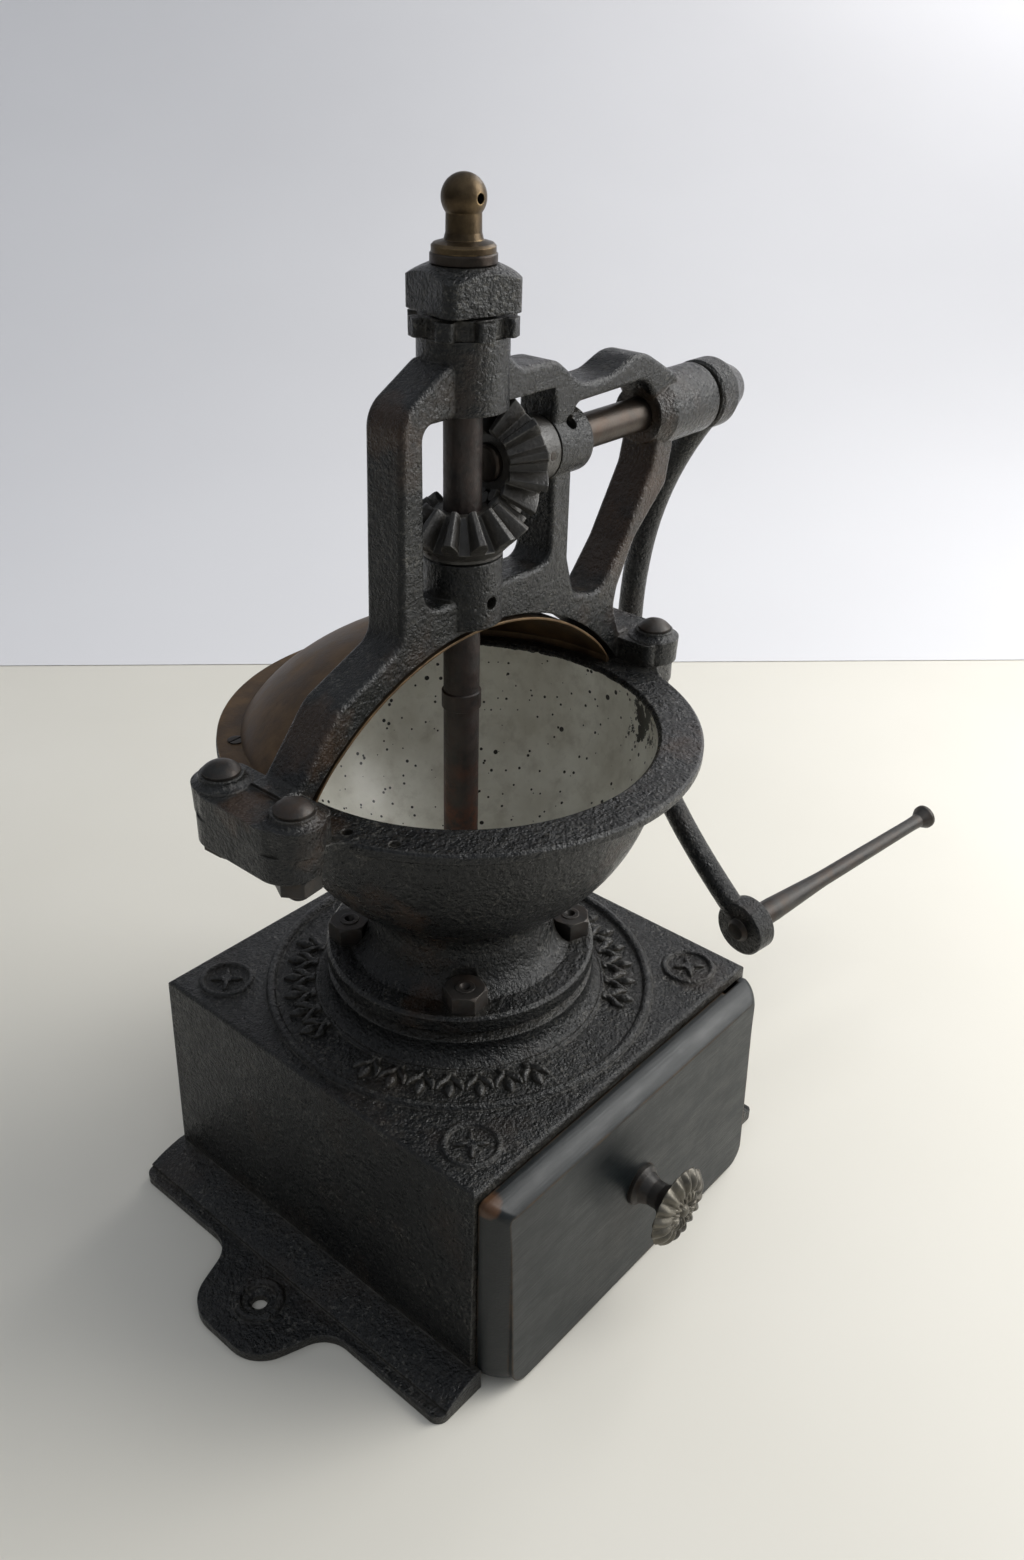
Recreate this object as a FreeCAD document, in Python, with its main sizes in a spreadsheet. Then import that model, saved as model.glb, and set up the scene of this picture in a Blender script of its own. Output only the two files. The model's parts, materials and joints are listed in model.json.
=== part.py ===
import FreeCAD, Part
import math
import os

import Sketcher

# A hand-cranked counter coffee mill: a cast iron box with a drawer, a bolted hopper casting,
# a bridge that carries the crank shaft and the vertical grinding shaft, and a rear hopper cover.
# Origin: on the table, below the axis of the grinding shaft.  +Z is up, the drawer opens
# towards -Y and the crank is on the +X side.  Millimetres and degrees throughout.

V = FreeCAD.Vector
doc = FreeCAD.newDocument("CounterMill")
sheet = doc.addObject("Spreadsheet::Sheet", "Dimensions")

DIMENSIONS = {
    # box and base flanges
    "box_half": 89.5, "box_height": 103.7, "box_draft": 1.4, "wall": 4.0, "top_thick": 5.0,
    "flange_reach": 112.5, "flange_half": 93.2, "flange_rise": 10.2,
    "flange_step": 5.6, "lip_thick": 4.2, "lip_inner": 108.0, "lug_tip": 143.6, "lug_hole": 122.5,
    "lug_hole_radius": 3.4, "lug_thick": 4.2,
    "bead_radius": 82.1, "bead_round": 2.1, "roundel_offset": 71.7, "roundel_radius": 10.6,
    "roundel_round": 1.3, "pedestal_foot": 61.9, "pedestal_ring": 57.1, "pedestal_seat": 53.4,
    "pedestal_bore": 41.5, "seat_height": 116.0,
    # hopper
    "nut_height": 8.0, "neck_flange": 57.3, "neck_groove": 52.6, "flange_top": 126.5, "stud_circle": 47.2,
    "stud_radius": 4.0, "neck_radius": 38.5, "bowl_centre": 222.0, "bowl_outer": 80.0,
    "bowl_inner": 77.5, "rim_top": 228.5, "rim_thick": 4.6, "rim_radius": 95.0,
    "throat": 31.0, "burr_seat": 35.0, "burr_seat_top": 133.0, "ear_reach": 114.6, "ear_corner": 12.0,
    "ear_half": 27.0, "ear_bottom": 218.2,
    # bridge
    "bridge_front": 8.7, "bridge_back": 9.5, "arch_radius": 115.4, "arch_centre": 156.9,
    "pad_top": 241.9, "pad_inner": 90.0, "bolt_x": 102.4, "bolt_y": 18.8, "bolt_radius": 4.0,
    "top_boss": 16.2, "top_boss_low": 352.9, "top_boss_high": 377.9,
    "low_boss": 15.0, "low_boss_low": 273.8, "low_boss_high": 299.1,
    "crank_height": 330.05, "inner_boss": 13.0, "inner_boss_end": 59.5,
    "outer_boss": 14.7, "outer_boss_start": 106.0, "outer_boss_end": 145.5,
    "oil_hole": 2.6,
    # shafts, gears and burrs
    "shaft_radius": 7.0, "running_gap": 0.05, "gear_pitch": 22.0, "gear_teeth": 12,
    "gear_face": 14.0, "gear_pin": 1.75,
    "floor_top": 1.6, "floor_half": 100.0, "floor_screw_x": 95.0, "floor_screw_y": 78.0,
    "burr_low": 112.0, "burr_high": 136.0, "burr_outer_low": 31.2, "burr_outer_high": 26.4,
    "burr_inner_low": 30.4, "burr_inner_high": 22.0,
    # adjuster and finial
    "bush_radius": 11.0, "head_side": 31.0, "head_low": 385.7, "head_high": 400.3,
    "lock_radius": 15.6, "lock_lobe": 3.9, "lock_high": 384.7,
    "washer_radius": 11.4, "washer_high": 404.0, "collar_radius": 10.9, "collar_high": 406.8,
    "finial_neck": 6.1, "ball_radius": 7.6, "ball_centre": 420.7,
    # crank
    "hub_start": 147.5, "hub_end": 172.5, "hub_radius": 15.0, "shaft_end": 177.0,
    "arm_plane": 158.0, "arm_radius": 6.0, "grip_y": -52.0, "grip_z": 69.8, "grip_boss": 14.3,
    "grip_boss_thick": 12.0, "spindle_length": 149.0, "spindle_yaw": 9.8, "spindle_pitch": 3.4,
    # rear cover
    "cover_radius": 113.4, "cover_centre": 157.2, "cover_break": 72.0, "cover_base": 84.5,
    "cover_sheet": 0.9, "cover_front": 8.2, "cover_screw_x": 71.0, "cover_screw_y": 51.1,
    # drawer
    "front_half": 88.2, "front_bottom": 2.0, "front_top": 99.8, "front_back": 90.3,
    "front_face_low": 104.2, "front_face_high": 100.9, "front_bevel": 6.2,
    "drawer_half": 85.0, "drawer_low": 2.0, "drawer_high": 88.0, "drawer_back": 75.0,
    "board": 7.0, "knob_height": 48.5, "knob_seat": 101.5, "rosette_radius": 17.5,
}
NOTES = "millimetres, degrees for yaw and pitch, and counts"

sheet.set("A1", NOTES)
for row, (alias, number) in enumerate(DIMENSIONS.items(), start=2):
    sheet.set(f"A{row}", alias.replace("_", " "))
    sheet.set(f"B{row}", str(number))
    sheet.setAlias(f"B{row}", alias)
doc.recompute()


class Size:
    """A length that carries both its value and the expression that ties it to the sheet."""

    def __init__(self, value, text=None):
        self.value = float(value)
        self.bound = text is not None
        self.text = text if self.bound else repr(float(value))

    def mixed(self, other, sign, value):
        text = f"({self.text} {sign} {other.text})" if self.bound or other.bound else None
        return Size(value, text)

    def __add__(self, other):
        other = size(other)
        return self.mixed(other, "+", self.value + other.value)

    def __sub__(self, other):
        other = size(other)
        return self.mixed(other, "-", self.value - other.value)

    def __mul__(self, other):
        other = size(other)
        return self.mixed(other, "*", self.value * other.value)

    def __truediv__(self, other):
        other = size(other)
        return self.mixed(other, "/", self.value / other.value)

    def __radd__(self, other):
        return size(other) + self

    def __rsub__(self, other):
        return size(other) - self

    def __rmul__(self, other):
        return size(other) * self

    def __neg__(self):
        return size(0) - self


def size(value):
    return value if isinstance(value, Size) else Size(value)


class Sizes:
    """Every driving dimension, read back from the sheet by its alias."""


D = Sizes()
for alias in DIMENSIONS:
    setattr(D, alias, Size(float(sheet.get(alias)), f"Dimensions.{alias}"))


def mm(value):
    return size(value).value


# ---------------------------------------------------------------- helpers: primitives

TURN = {
    "+Z": FreeCAD.Rotation(),
    "+X": FreeCAD.Rotation(V(0, 1, 0), 90),
    "-Y": FreeCAD.Rotation(V(1, 0, 0), 90),
}


def bind(obj, prop, value):
    value = size(value)
    setattr(obj, prop, value.value)
    if value.bound:
        obj.setExpression(prop, value.text)


def put(obj, x=0, y=0, z=0, axis="+Z"):
    spot = [size(x), size(y), size(z)]
    obj.Placement = FreeCAD.Placement(V(*[s.value for s in spot]), TURN[axis])
    for letter, coordinate in zip("xyz", spot):
        if coordinate.bound:
            obj.setExpression("Placement.Base." + letter, coordinate.text)
    return obj


def block(name, low, high):
    """A box between two opposite corners."""
    obj = doc.addObject("Part::Box", name)
    for prop, a, b in zip(("Length", "Width", "Height"), low, high):
        bind(obj, prop, size(b) - a)
    return put(obj, *low)


def rod(name, radius, length, x=0, y=0, z=0, axis="+Z"):
    obj = doc.addObject("Part::Cylinder", name)
    bind(obj, "Radius", radius)
    bind(obj, "Height", length)
    return put(obj, x, y, z, axis)


def cone(name, radius_low, radius_high, length, x=0, y=0, z=0, axis="+Z"):
    obj = doc.addObject("Part::Cone", name)
    bind(obj, "Radius1", radius_low)
    bind(obj, "Radius2", radius_high)
    bind(obj, "Height", length)
    return put(obj, x, y, z, axis)


def ball(name, radius, x=0, y=0, z=0):
    obj = doc.addObject("Part::Sphere", name)
    bind(obj, "Radius", radius)
    return put(obj, x, y, z)


def join(name, *parts):
    obj = doc.addObject("Part::MultiFuse", name)
    obj.Shapes = list(parts)
    return obj


def cut(name, base, *tools):
    obj = doc.addObject("Part::Cut", name)
    obj.Base = base
    obj.Tool = tools[0] if len(tools) == 1 else join(name + "_tools", *tools)
    return obj


def common(name, first, second):
    obj = doc.addObject("Part::Common", name)
    obj.Base = first
    obj.Tool = second
    return obj


def group(name, parts):
    """Several like solids that share one node."""
    obj = doc.addObject("Part::Compound", name)
    obj.Links = list(parts)
    return obj


def rounded(name, base, radius, picks):
    """Fillet the edges of a part that the picks function chooses."""
    doc.recompute()
    obj = doc.addObject("Part::Fillet", name)
    obj.Base = base
    edges = base.Shape.Edges
    obj.Edges = [(i + 1, radius, radius) for i, e in enumerate(edges) if picks(e)]
    return obj


def loose(name, shape):
    """A part whose shape is worked out below from sizes in the sheet."""
    obj = doc.addObject("Part::Feature", name)
    obj.Shape = shape
    return obj


# ---------------------------------------------------------------- helpers: turned parts

def bulged(start, end, radius):
    """A minor arc; a positive radius bulges to the left of the way from start to end."""
    chord = end - start
    sag = abs(radius) - math.sqrt(radius ** 2 - chord.Length ** 2 / 4)
    left = V(-chord.y, chord.x, 0).normalize()
    return Part.Arc(start, (start + end) * 0.5 + left * math.copysign(sag, radius), end)


def sketch_path(sketch, path):
    """A closed profile of (u, v) or (u, v, arc radius to the next point), tied to the sheet."""
    points = [V(mm(p[0]), mm(p[1]), 0) for p in path]
    ends = []
    for i, spot in enumerate(path):
        start, end = points[i], points[(i + 1) % len(path)]
        if len(spot) == 3:
            sketch.addGeometry(bulged(start, end, mm(spot[2])), False)
        else:
            sketch.addGeometry(Part.LineSegment(start, end), False)
        forward = (sketch.getPoint(i, 1) - start).Length < (sketch.getPoint(i, 2) - start).Length
        ends.append((1, 2) if forward else (2, 1))
    for i, spot in enumerate(path):
        after = (i + 1) % len(path)
        sketch.addConstraint(Sketcher.Constraint("Coincident", i, ends[i][1], after, ends[after][0]))
        for kind, value in (("DistanceX", size(spot[0])), ("DistanceY", size(spot[1]))):
            link = Sketcher.Constraint(kind, -1, 1, i, ends[i][0], value.value)
            number = sketch.addConstraint(link)
            if value.bound:
                sketch.setExpression(f"Constraints[{number}]", value.text)
        if len(spot) == 3:
            radius = size(spot[2]) if mm(spot[2]) > 0 else -size(spot[2])
            number = sketch.addConstraint(Sketcher.Constraint("Radius", i, radius.value))
            if radius.bound:
                sketch.setExpression(f"Constraints[{number}]", radius.text)


def new_sketch(body, plane_role, name):
    sketch = body.newObject("Sketcher::SketchObject", name)
    plane = [f for f in body.Origin.OriginFeatures if f.Role == plane_role][0]
    sketch.AttachmentSupport = (plane, [""])
    sketch.MapMode = "FlatFace"
    return sketch


def turned(name, path, x=0, y=0, z=0, axis="+Z"):
    """A lathe-turned piece: a profile of (radius, height) points about the vertical axis."""
    body = doc.addObject("PartDesign::Body", name)
    sketch = new_sketch(body, "XZ_Plane", name + "_profile")
    sketch_path(sketch, path)
    spin = body.newObject("PartDesign::Revolution", name + "_turning")
    spin.Profile = sketch
    spin.ReferenceAxis = (sketch, ["V_Axis"])
    spin.Angle = 360
    body.Tip = spin
    return put(body, x, y, z, axis)


def bead(name, major, minor, x=0, y=0, z=0):
    """A raised ring with a rounded section, set on a flat face at height z."""
    shoulder, waist = minor * 0.55, minor * 0.25
    return turned(name, [
        (major - minor, -1), (major - minor, waist), (major - shoulder, minor * 0.85), (major, minor),
        (major + shoulder, minor * 0.85), (major + minor, waist), (major + minor, -1)], x, y, z)


def padded(name, path, length, plane_role="XZ_Plane", x=0, y=0, z=0):
    """A profile extruded the same way to both sides of its plane."""
    body = doc.addObject("PartDesign::Body", name)
    sketch = new_sketch(body, plane_role, name + "_profile")
    sketch_path(sketch, path)
    pad = body.newObject("PartDesign::Pad", name + "_pad")
    pad.Profile = sketch
    bind(pad, "Length", length)
    pad.Midplane = True
    body.Tip = pad
    return put(body, x, y, z)


def outline(corners, to_3d):
    """A closed wire through corners (u, v, radius), each rounded by a tangent arc."""
    count = len(corners)
    starts, ends, middles = [], [], []
    for i in range(count):
        here = V(corners[i][0], corners[i][1], 0)
        back = (V(*corners[i - 1][:2], 0) - here)
        ahead = (V(*corners[(i + 1) % count][:2], 0) - here)
        back.normalize()
        ahead.normalize()
        half = back.getAngle(ahead) / 2
        radius = corners[i][2]
        reach = radius / math.tan(half)
        starts.append(here + back * reach)
        ends.append(here + ahead * reach)
        towards = (back + ahead).normalize()
        middles.append(here + towards * (radius / math.sin(half) - radius))
    edges = []
    for i in range(count):
        if corners[i][2] > 0:
            edges.append(Part.Arc(to_3d(starts[i]), to_3d(middles[i]), to_3d(ends[i])).toShape())
        begin, finish = to_3d(ends[i]), to_3d(starts[(i + 1) % count])
        if (finish - begin).Length > 1e-6:
            edges.append(Part.LineSegment(begin, finish).toShape())
    return Part.Wire(edges)


def slab(corners, low, high, upright=True):
    """A rounded outline extruded: in XZ from y = low to high, or in XY from z = low to high."""
    if upright:
        face = Part.Face(outline(corners, lambda p: V(p.x, low, p.y)))
        return face.extrude(V(0, high - low, 0))
    face = Part.Face(outline(corners, lambda p: V(p.x, p.y, low)))
    return face.extrude(V(0, 0, high - low))


SIDES = (("left", -1), ("right", 1))


# ---------------------------------------------------------------- helpers: fasteners

def hex_nut(name, across, height, bore, x, y, z, turn):
    """A hexagon nut with its upper corners chamfered."""
    prism = doc.addObject("Part::Prism", name + "_prism")
    prism.Polygon = 6
    bind(prism, "Circumradius", size(across) / math.sqrt(3))
    bind(prism, "Height", height)
    put(prism, x, y, z)
    prism.Placement = FreeCAD.Placement(prism.Placement.Base, FreeCAD.Rotation(V(0, 0, 1), turn))
    chamfer = math.hypot(mm(height), 0.51 * mm(across))
    body = common(name + "_chamfered", prism, ball(name + "_chamfer", chamfer, x, y, z))
    return cut(name, body, rod(name + "_bore", bore, size(height) + 2, x, y, size(z) - 1))


def stud_spots():
    """The four neck studs stand on the diagonals."""
    reach = D.stud_circle * math.sqrt(0.5)
    return [(x * reach, y * reach) for x in (-1, 1) for y in (-1, 1)]


def floor_spots():
    return [(x * D.floor_screw_x, y * D.floor_screw_y) for x in (-1, 1) for y in (-1, 1)]


def bolt_spots():
    return [(x * D.bolt_x, y * D.bolt_y) for x in (-1, 1) for y in (-1, 1)]


# ---------------------------------------------------------------- box

def mirrored(path, sign):
    """The same profile on the other side of the middle plane."""
    if sign > 0:
        return path
    return [(-size(p[0]), p[1]) + tuple(-size(r) for r in p[2:]) for p in path]


def flange(side, sign):
    """One moulded base flange, its bolting lug and the lug's raised eye."""
    inner, reach = D.box_half - 1, D.flange_reach
    moulding = padded(f"moulding_{side}", mirrored([
        (inner, 0), (reach, 0), (reach, D.lip_thick - 0.8), (reach - 0.8, D.lip_thick),
        (D.lip_inner, D.lip_thick), (D.lip_inner, D.flange_step, -60),
        (D.box_half + 2.2, D.flange_rise), (inner, D.flange_rise)], sign), D.flange_half * 2)
    edge, tip, end = mm(D.flange_reach), mm(D.lug_tip), mm(D.flange_half)
    mask = loose(f"flange_mask_{side}", slab([
        (sign * x, y, r) for x, y, r in ((80, -end, 0), (edge, -end, 5), (edge, end, 5), (80, end, 0))
    ], -1, 20, False))
    lug = loose(f"lug_{side}", slab([(sign * x, y, r) for x, y, r in (
        (edge - 4, -46, 0), (edge, -46, 0), (edge, -32, 14), (tip, -20.5, 18),
        (tip, 20.5, 18), (edge, 32, 14), (edge, 46, 0), (edge - 4, 46, 0)
    )], 0, mm(D.lug_thick), False))
    eye = bead(f"lug_eye_{side}", 9.0, 1.9, sign * D.lug_hole, 0, D.lug_thick)
    dish = cone(f"lug_dish_{side}", D.lug_hole_radius, 6.0, 2.0, sign * D.lug_hole, 0,
                D.lug_thick - 1.2)
    hole = rod(f"lug_bore_{side}", D.lug_hole_radius, 12, sign * D.lug_hole, 0, -1)
    return [common(f"flange_{side}", moulding, mask), lug, eye], [dish, hole]


def box_casting():
    """Three walls, the ornamented top and the two base flanges are one casting."""
    shell = doc.addObject("Part::Wedge", "box_shell")
    foot = D.box_half + D.box_draft
    for prop, value in (("Xmin", -foot), ("Xmax", foot), ("X2min", -D.box_half),
                        ("X2max", D.box_half), ("Zmin", -foot), ("Zmax", D.box_half),
                        ("Z2min", -D.box_half), ("Z2max", D.box_half), ("Ymin", 0),
                        ("Ymax", D.box_height)):
        bind(shell, prop, value)
    shell.Placement = FreeCAD.Placement(V(), FreeCAD.Rotation(V(1, 0, 0), 90))
    top = mm(D.box_height)
    soft = rounded("box_rounded", shell, 1.6, lambda e: e.BoundBox.ZMin > top - 0.01)
    inner = D.box_half - D.wall
    cavity = block("box_cavity", (-inner, -foot - 1, -1), (inner, inner, D.box_height - D.top_thick))
    adds, cuts = [], []
    for side, sign in SIDES:
        more, less = flange(side, sign)
        adds += more
        cuts += less
    adds.append(turned("pedestal", [
        (D.pedestal_bore - 1, D.box_height - 1), (D.pedestal_foot, D.box_height - 1),
        (D.pedestal_foot, D.box_height + 0.6, 9), (D.pedestal_ring, D.seat_height - 4.4),
        (D.pedestal_ring, D.seat_height - 1.6), (D.pedestal_seat, D.seat_height),
        (D.pedestal_bore - 1, D.seat_height)]))
    adds.append(bead("outer_bead", D.bead_radius, D.bead_round, 0, 0, D.box_height))
    adds.append(bead("inner_bead", D.pedestal_foot + 0.4, 1.1, 0, 0, D.box_height))
    for x_side, x_sign in SIDES:
        for y_side, y_sign in (("front", -1), ("rear", 1)):
            x, y = x_sign * D.roundel_offset, y_sign * D.roundel_offset
            tag = f"{y_side}_{x_side}"
            adds.append(bead("roundel_" + tag, D.roundel_radius, D.roundel_round, x, y, D.box_height))
            adds.append(cone("roundel_button_" + tag, 3.4, 2.2, 2.0, x, y, D.box_height - 0.8))
    cuts.append(rod("coffee_hole", D.pedestal_bore, 30, 0, 0, D.box_height - 10))
    cuts += [rod(f"stud_hole_{i}", D.stud_radius, 12, x, y, D.seat_height - 12)
             for i, (x, y) in enumerate(stud_spots())]
    cuts += [rod(f"floor_hole_{i}", 1.8, 8, x, y, 0) for i, (x, y) in enumerate(floor_spots())]
    recess_x, recess_y = D.floor_half + 0.3, D.box_half - 1.5
    cuts.append(block("floor_recess", (-recess_x, -recess_y, -1), (recess_x, recess_y, D.floor_top)))
    hollow = cut("box_hollow", join("box_iron", soft, *adds), cavity)
    return cut("box_casting", hollow, *cuts)


def floor_plate():
    sheet_half, end = D.floor_half, D.box_half - 1.8
    plate = block("floor_sheet", (-sheet_half, -end, 0.2), (sheet_half, end, D.floor_top))
    holes = [cone(f"floor_sink_{i}", 3.2, 1.8, 1.5, x, y, 0.15) for i, (x, y) in enumerate(floor_spots())]
    return cut("floor_plate", plate, *holes)


def floor_screws():
    screws = []
    for i, (x, y) in enumerate(floor_spots()):
        screws.append(join(f"floor_screw_{i}",
                           cone(f"floor_head_{i}", 3.2 - 0.05, 1.8, 1.45, x, y, 0.2),
                           rod(f"floor_shank_{i}", 1.8, 6.4, x, y, D.floor_top - 0.1)))
    return group("floor_screws", screws)


# ---------------------------------------------------------------- hopper

def hopper_casting():
    """Neck flange, bowl, rim and the two bolting ears are one casting."""
    outer, inner, middle = D.bowl_outer, D.bowl_inner, D.bowl_centre
    lip_low = D.rim_top - D.rim_thick
    bowl_foot, meet = 46.0, 5.0
    foot_z = middle - math.sqrt(mm(outer) ** 2 - bowl_foot ** 2)
    throat_z = middle - math.sqrt(mm(inner) ** 2 - mm(D.throat) ** 2)
    shoulder = math.sqrt(mm(outer) ** 2 - (mm(lip_low) - mm(middle)) ** 2)
    mouth = math.sqrt(mm(inner) ** 2 - meet ** 2)
    body = turned("hopper_turning", [
        (D.burr_seat, D.seat_height), (D.neck_groove, D.seat_height),
        (D.neck_groove, D.seat_height + 2), (D.neck_flange - 0.8, D.seat_height + 2.8),
        (D.neck_flange, D.seat_height + 3.8), (D.neck_flange, D.flange_top - 1.2),
        (D.neck_flange - 1.2, D.flange_top), (47.0, D.flange_top, 12),
        (D.neck_radius + 1.2, D.flange_top + 9), (D.neck_radius, D.flange_top + 17),
        (D.neck_radius + 0.1, D.flange_top + 19.5, 13), (bowl_foot, foot_z, -outer),
        (shoulder, lip_low), (D.rim_radius - 1, lip_low), (D.rim_radius, lip_low + 1),
        (D.rim_radius, D.rim_top - 1), (D.rim_radius - 1, D.rim_top), (D.bowl_inner + 1.2, D.rim_top),
        (mouth, middle + meet, inner), (D.throat, throat_z), (D.throat, D.burr_seat_top),
        (D.burr_seat, D.burr_seat_top)])
    reach, half, corner = mm(D.ear_reach), mm(D.ear_half), mm(D.ear_corner)
    ears = [loose(f"ear_{side}", slab([(sign * x, y, r) for x, y, r in (
        (79, -half - 6, 0), (88, -half - 6, 0), (94, -half, 6), (reach, -half, corner),
        (reach, half, corner), (94, half, 6), (88, half + 6, 0), (79, half + 6, 0))
    ], mm(D.ear_bottom), mm(D.rim_top), False)) for side, sign in SIDES]
    cuts = [ball("bowl_hollow", inner, 0, 0, middle),
            rod("bowl_mouth", mouth, 20, 0, 0, middle + meet)]
    cuts += [rod(f"flange_hole_{i}", D.stud_radius + 0.3, 14, x, y, D.seat_height - 1)
             for i, (x, y) in enumerate(stud_spots())]
    cuts += [rod(f"spot_face_{i}", 9.3, 11, x, y, D.flange_top) for i, (x, y) in enumerate(stud_spots())]
    cuts += [rod(f"ear_hole_{i}", D.bolt_radius + 0.2, 14, x, y, D.ear_bottom - 1)
             for i, (x, y) in enumerate(bolt_spots())]
    cuts += [rod(f"lid_hole_{i}", 2.0, 9, x, y, D.rim_top - 8)
             for i, (x, y) in enumerate(((-85.4, -25.7), (-79.6, -42.9)))]
    cuts += [rod(f"cover_hole_{side}", 1.6, 9, sign * D.cover_screw_x, D.cover_screw_y, D.rim_top - 8)
             for side, sign in SIDES]
    cuts += [rod(f"burr_hole_{i}", 1.6, 11, x, y, D.seat_height - 1)
             for i, (x, y) in enumerate(burr_screw_spots() + bearing_screw_spots())]
    return cut("hopper_casting", join("hopper_iron", body, *ears), *cuts)


def burr_screw_spots():
    return [(0, 38.2), (0, -38.2)]


def bearing_screw_spots():
    return [(38.2, 0), (-38.2, 0)]


def neck_studs():
    """Studs that end level with their nuts, with a lathe centre in each end."""
    low, high = D.seat_height - 12, D.flange_top + D.nut_height + 0.3
    return group("neck_studs", [
        cut(f"neck_stud_{i}", rod(f"stud_shank_{i}", D.stud_radius, high - low, x, y, low),
            cone(f"stud_centre_{i}", 0.8, 2.4, 2.2, x, y, high - 2))
        for i, (x, y) in enumerate(stud_spots())])


def neck_nuts():
    turns = (8, 21, 41, 13)
    return group("neck_nuts", [
        hex_nut(f"neck_nut_{i}", 15.6, D.nut_height, D.stud_radius, x, y, D.flange_top, turns[i])
        for i, (x, y) in enumerate(stud_spots())])


# ---------------------------------------------------------------- burrs and lower bearing

def grooves(name, count, radius_low, radius_high, low, high, width, depth):
    """Cutting grooves laid round a cone, raked so the beans are drawn down."""
    tools = []
    slant = math.atan2(radius_low - radius_high, high - low)
    length = math.hypot(radius_low - radius_high, high - low) + 4
    for i in range(count):
        tool = Part.makeBox(width, depth * 2, length, V(-width / 2, -depth, -2))
        tool.rotate(V(), V(0, 1, 0), 14)
        tool.rotate(V(), V(1, 0, 0), math.degrees(slant))
        tool.translate(V(0, -radius_low, low))
        tool.rotate(V(), V(0, 0, 1), 360.0 * i / count)
        tools.append(tool)
    return loose(name, Part.makeCompound(tools))


def outer_burr():
    """The fixed burr: a toothed ring with a flange screwed under the hopper."""
    body = turned("outer_burr_turning", [
        (D.burr_outer_low, D.burr_low), (D.pedestal_bore - 0.3, D.burr_low),
        (D.pedestal_bore - 0.3, D.seat_height), (D.burr_seat, D.seat_height),
        (D.burr_seat, D.burr_seat_top), (D.burr_outer_high, D.burr_seat_top)])
    slots = grooves("outer_burr_grooves", 16, mm(D.burr_outer_low), mm(D.burr_outer_high),
                    mm(D.burr_low), mm(D.burr_seat_top), 2.4, 1.2)
    holes = [rod(f"outer_burr_hole_{i}", 1.6, 8, x, y, D.burr_low - 1)
             for i, (x, y) in enumerate(burr_screw_spots() + bearing_screw_spots())]
    return cut("outer_burr", body, slots, *holes)


def machine_screws(name, spots, seat, top):
    """Round-headed screws driven upwards from a seat."""
    screws = []
    for i, (x, y) in enumerate(spots):
        screws.append(join(f"{name}_{i}", rod(f"{name}_shank_{i}", 1.6, size(top) - seat + 0.2, x, y,
                                              size(seat) - 0.2),
                           rod(f"{name}_head_{i}", 2.9, 2.2, x, y, size(seat) - 2.2)))
    return group(name, screws)


def grinding_burr():
    body = turned("grinding_burr_turning", [
        (D.shaft_radius, D.burr_low), (D.burr_inner_low, D.burr_low),
        (D.burr_inner_high, D.burr_high), (12, D.burr_high + 4), (D.shaft_radius, D.burr_high + 4)])
    slots = grooves("grinding_burr_grooves", 14, mm(D.burr_inner_low), mm(D.burr_inner_high),
                    mm(D.burr_low), mm(D.burr_high), 3.0, 1.6)
    pin_z = D.burr_high + 1.5
    return cut("grinding_burr", body, slots,
               rod("burr_pin_hole", D.gear_pin, 40, -20, 0, pin_z, "+X"))


def lower_bearing():
    """The crossbar that steadies the foot of the grinding shaft."""
    bar = block("bearing_bar", (-40.6, -6, 104), (40.6, 6, 109))
    pads = [block(f"bearing_pad_{side}", (size(sign * 37.3) - 3.3, -6, 108.5),
                  (size(sign * 37.3) + 3.3, 6, D.burr_low)) for side, sign in SIDES]
    hub = cone("bearing_hub", 9.5, 12, 11, 0, 0, 98)
    holes = [rod(f"bearing_hole_{i}", 1.6, 12, x, y, 102) for i, (x, y) in enumerate(bearing_screw_spots())]
    bore = rod("bearing_bore", D.shaft_radius + D.running_gap, 14, 0, 0, 97)
    trim = rod("bearing_trim", D.pedestal_bore - 0.4, 16, 0, 0, 97)
    return cut("lower_bearing", common("bearing_iron", join("bearing_arms", bar, hub, *pads), trim),
               bore, *holes)


# ---------------------------------------------------------------- bridge

def bridge_plate():
    front, back = -mm(D.bridge_front), mm(D.bridge_back)
    column = 41.0
    plate = slab([
        (-98, 229, 0), (-98, 240, 0), (-91.5, 240, 3), (-72, 263, 15), (-40.5, 277, 8),
        (-38.5, 358, 12), (-16, 371, 4), (13, 371, 4), (22, 364, 6), (42, 363.5, 12), (58, 352, 14),
        (76, 352.5, 20), (94, 359.5, 20), (121, 345, 5), (121, 315.5, 3), (118, 300, 6),
        (98, 281, 14), (88, 262, 10), (86.5, 254, 6), (91.5, 240, 3), (98, 240, 0), (98, 229, 0)],
        front, back)
    left_window = slab([(-28.1, 285.9, 8), (-28.1, 352.4, 5), (column, 352.4, 5), (column, 285.9, 6)],
                       front - 1, back + 1)
    right_window = slab([(53, 345.5, 5), (99, 346.5, 10), (111, 330, 8), (106, 309, 8), (89, 281, 14),
                         (74, 263.5, 7), (58, 268.5, 7), (53, 285, 8)], front - 1, back + 1)
    arch = Part.makeCylinder(mm(D.arch_radius), back - front + 2, V(0, front - 1, mm(D.arch_centre)),
                             V(0, 1, 0))
    cast = plate.cut(left_window).cut(right_window).cut(arch)
    rims = [e for e in cast.Edges if e.BoundBox.YLength < 0.01 and e.BoundBox.ZMin > 241]
    return loose("bridge_plate", cast.makeFillet(2.3, rims))


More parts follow.
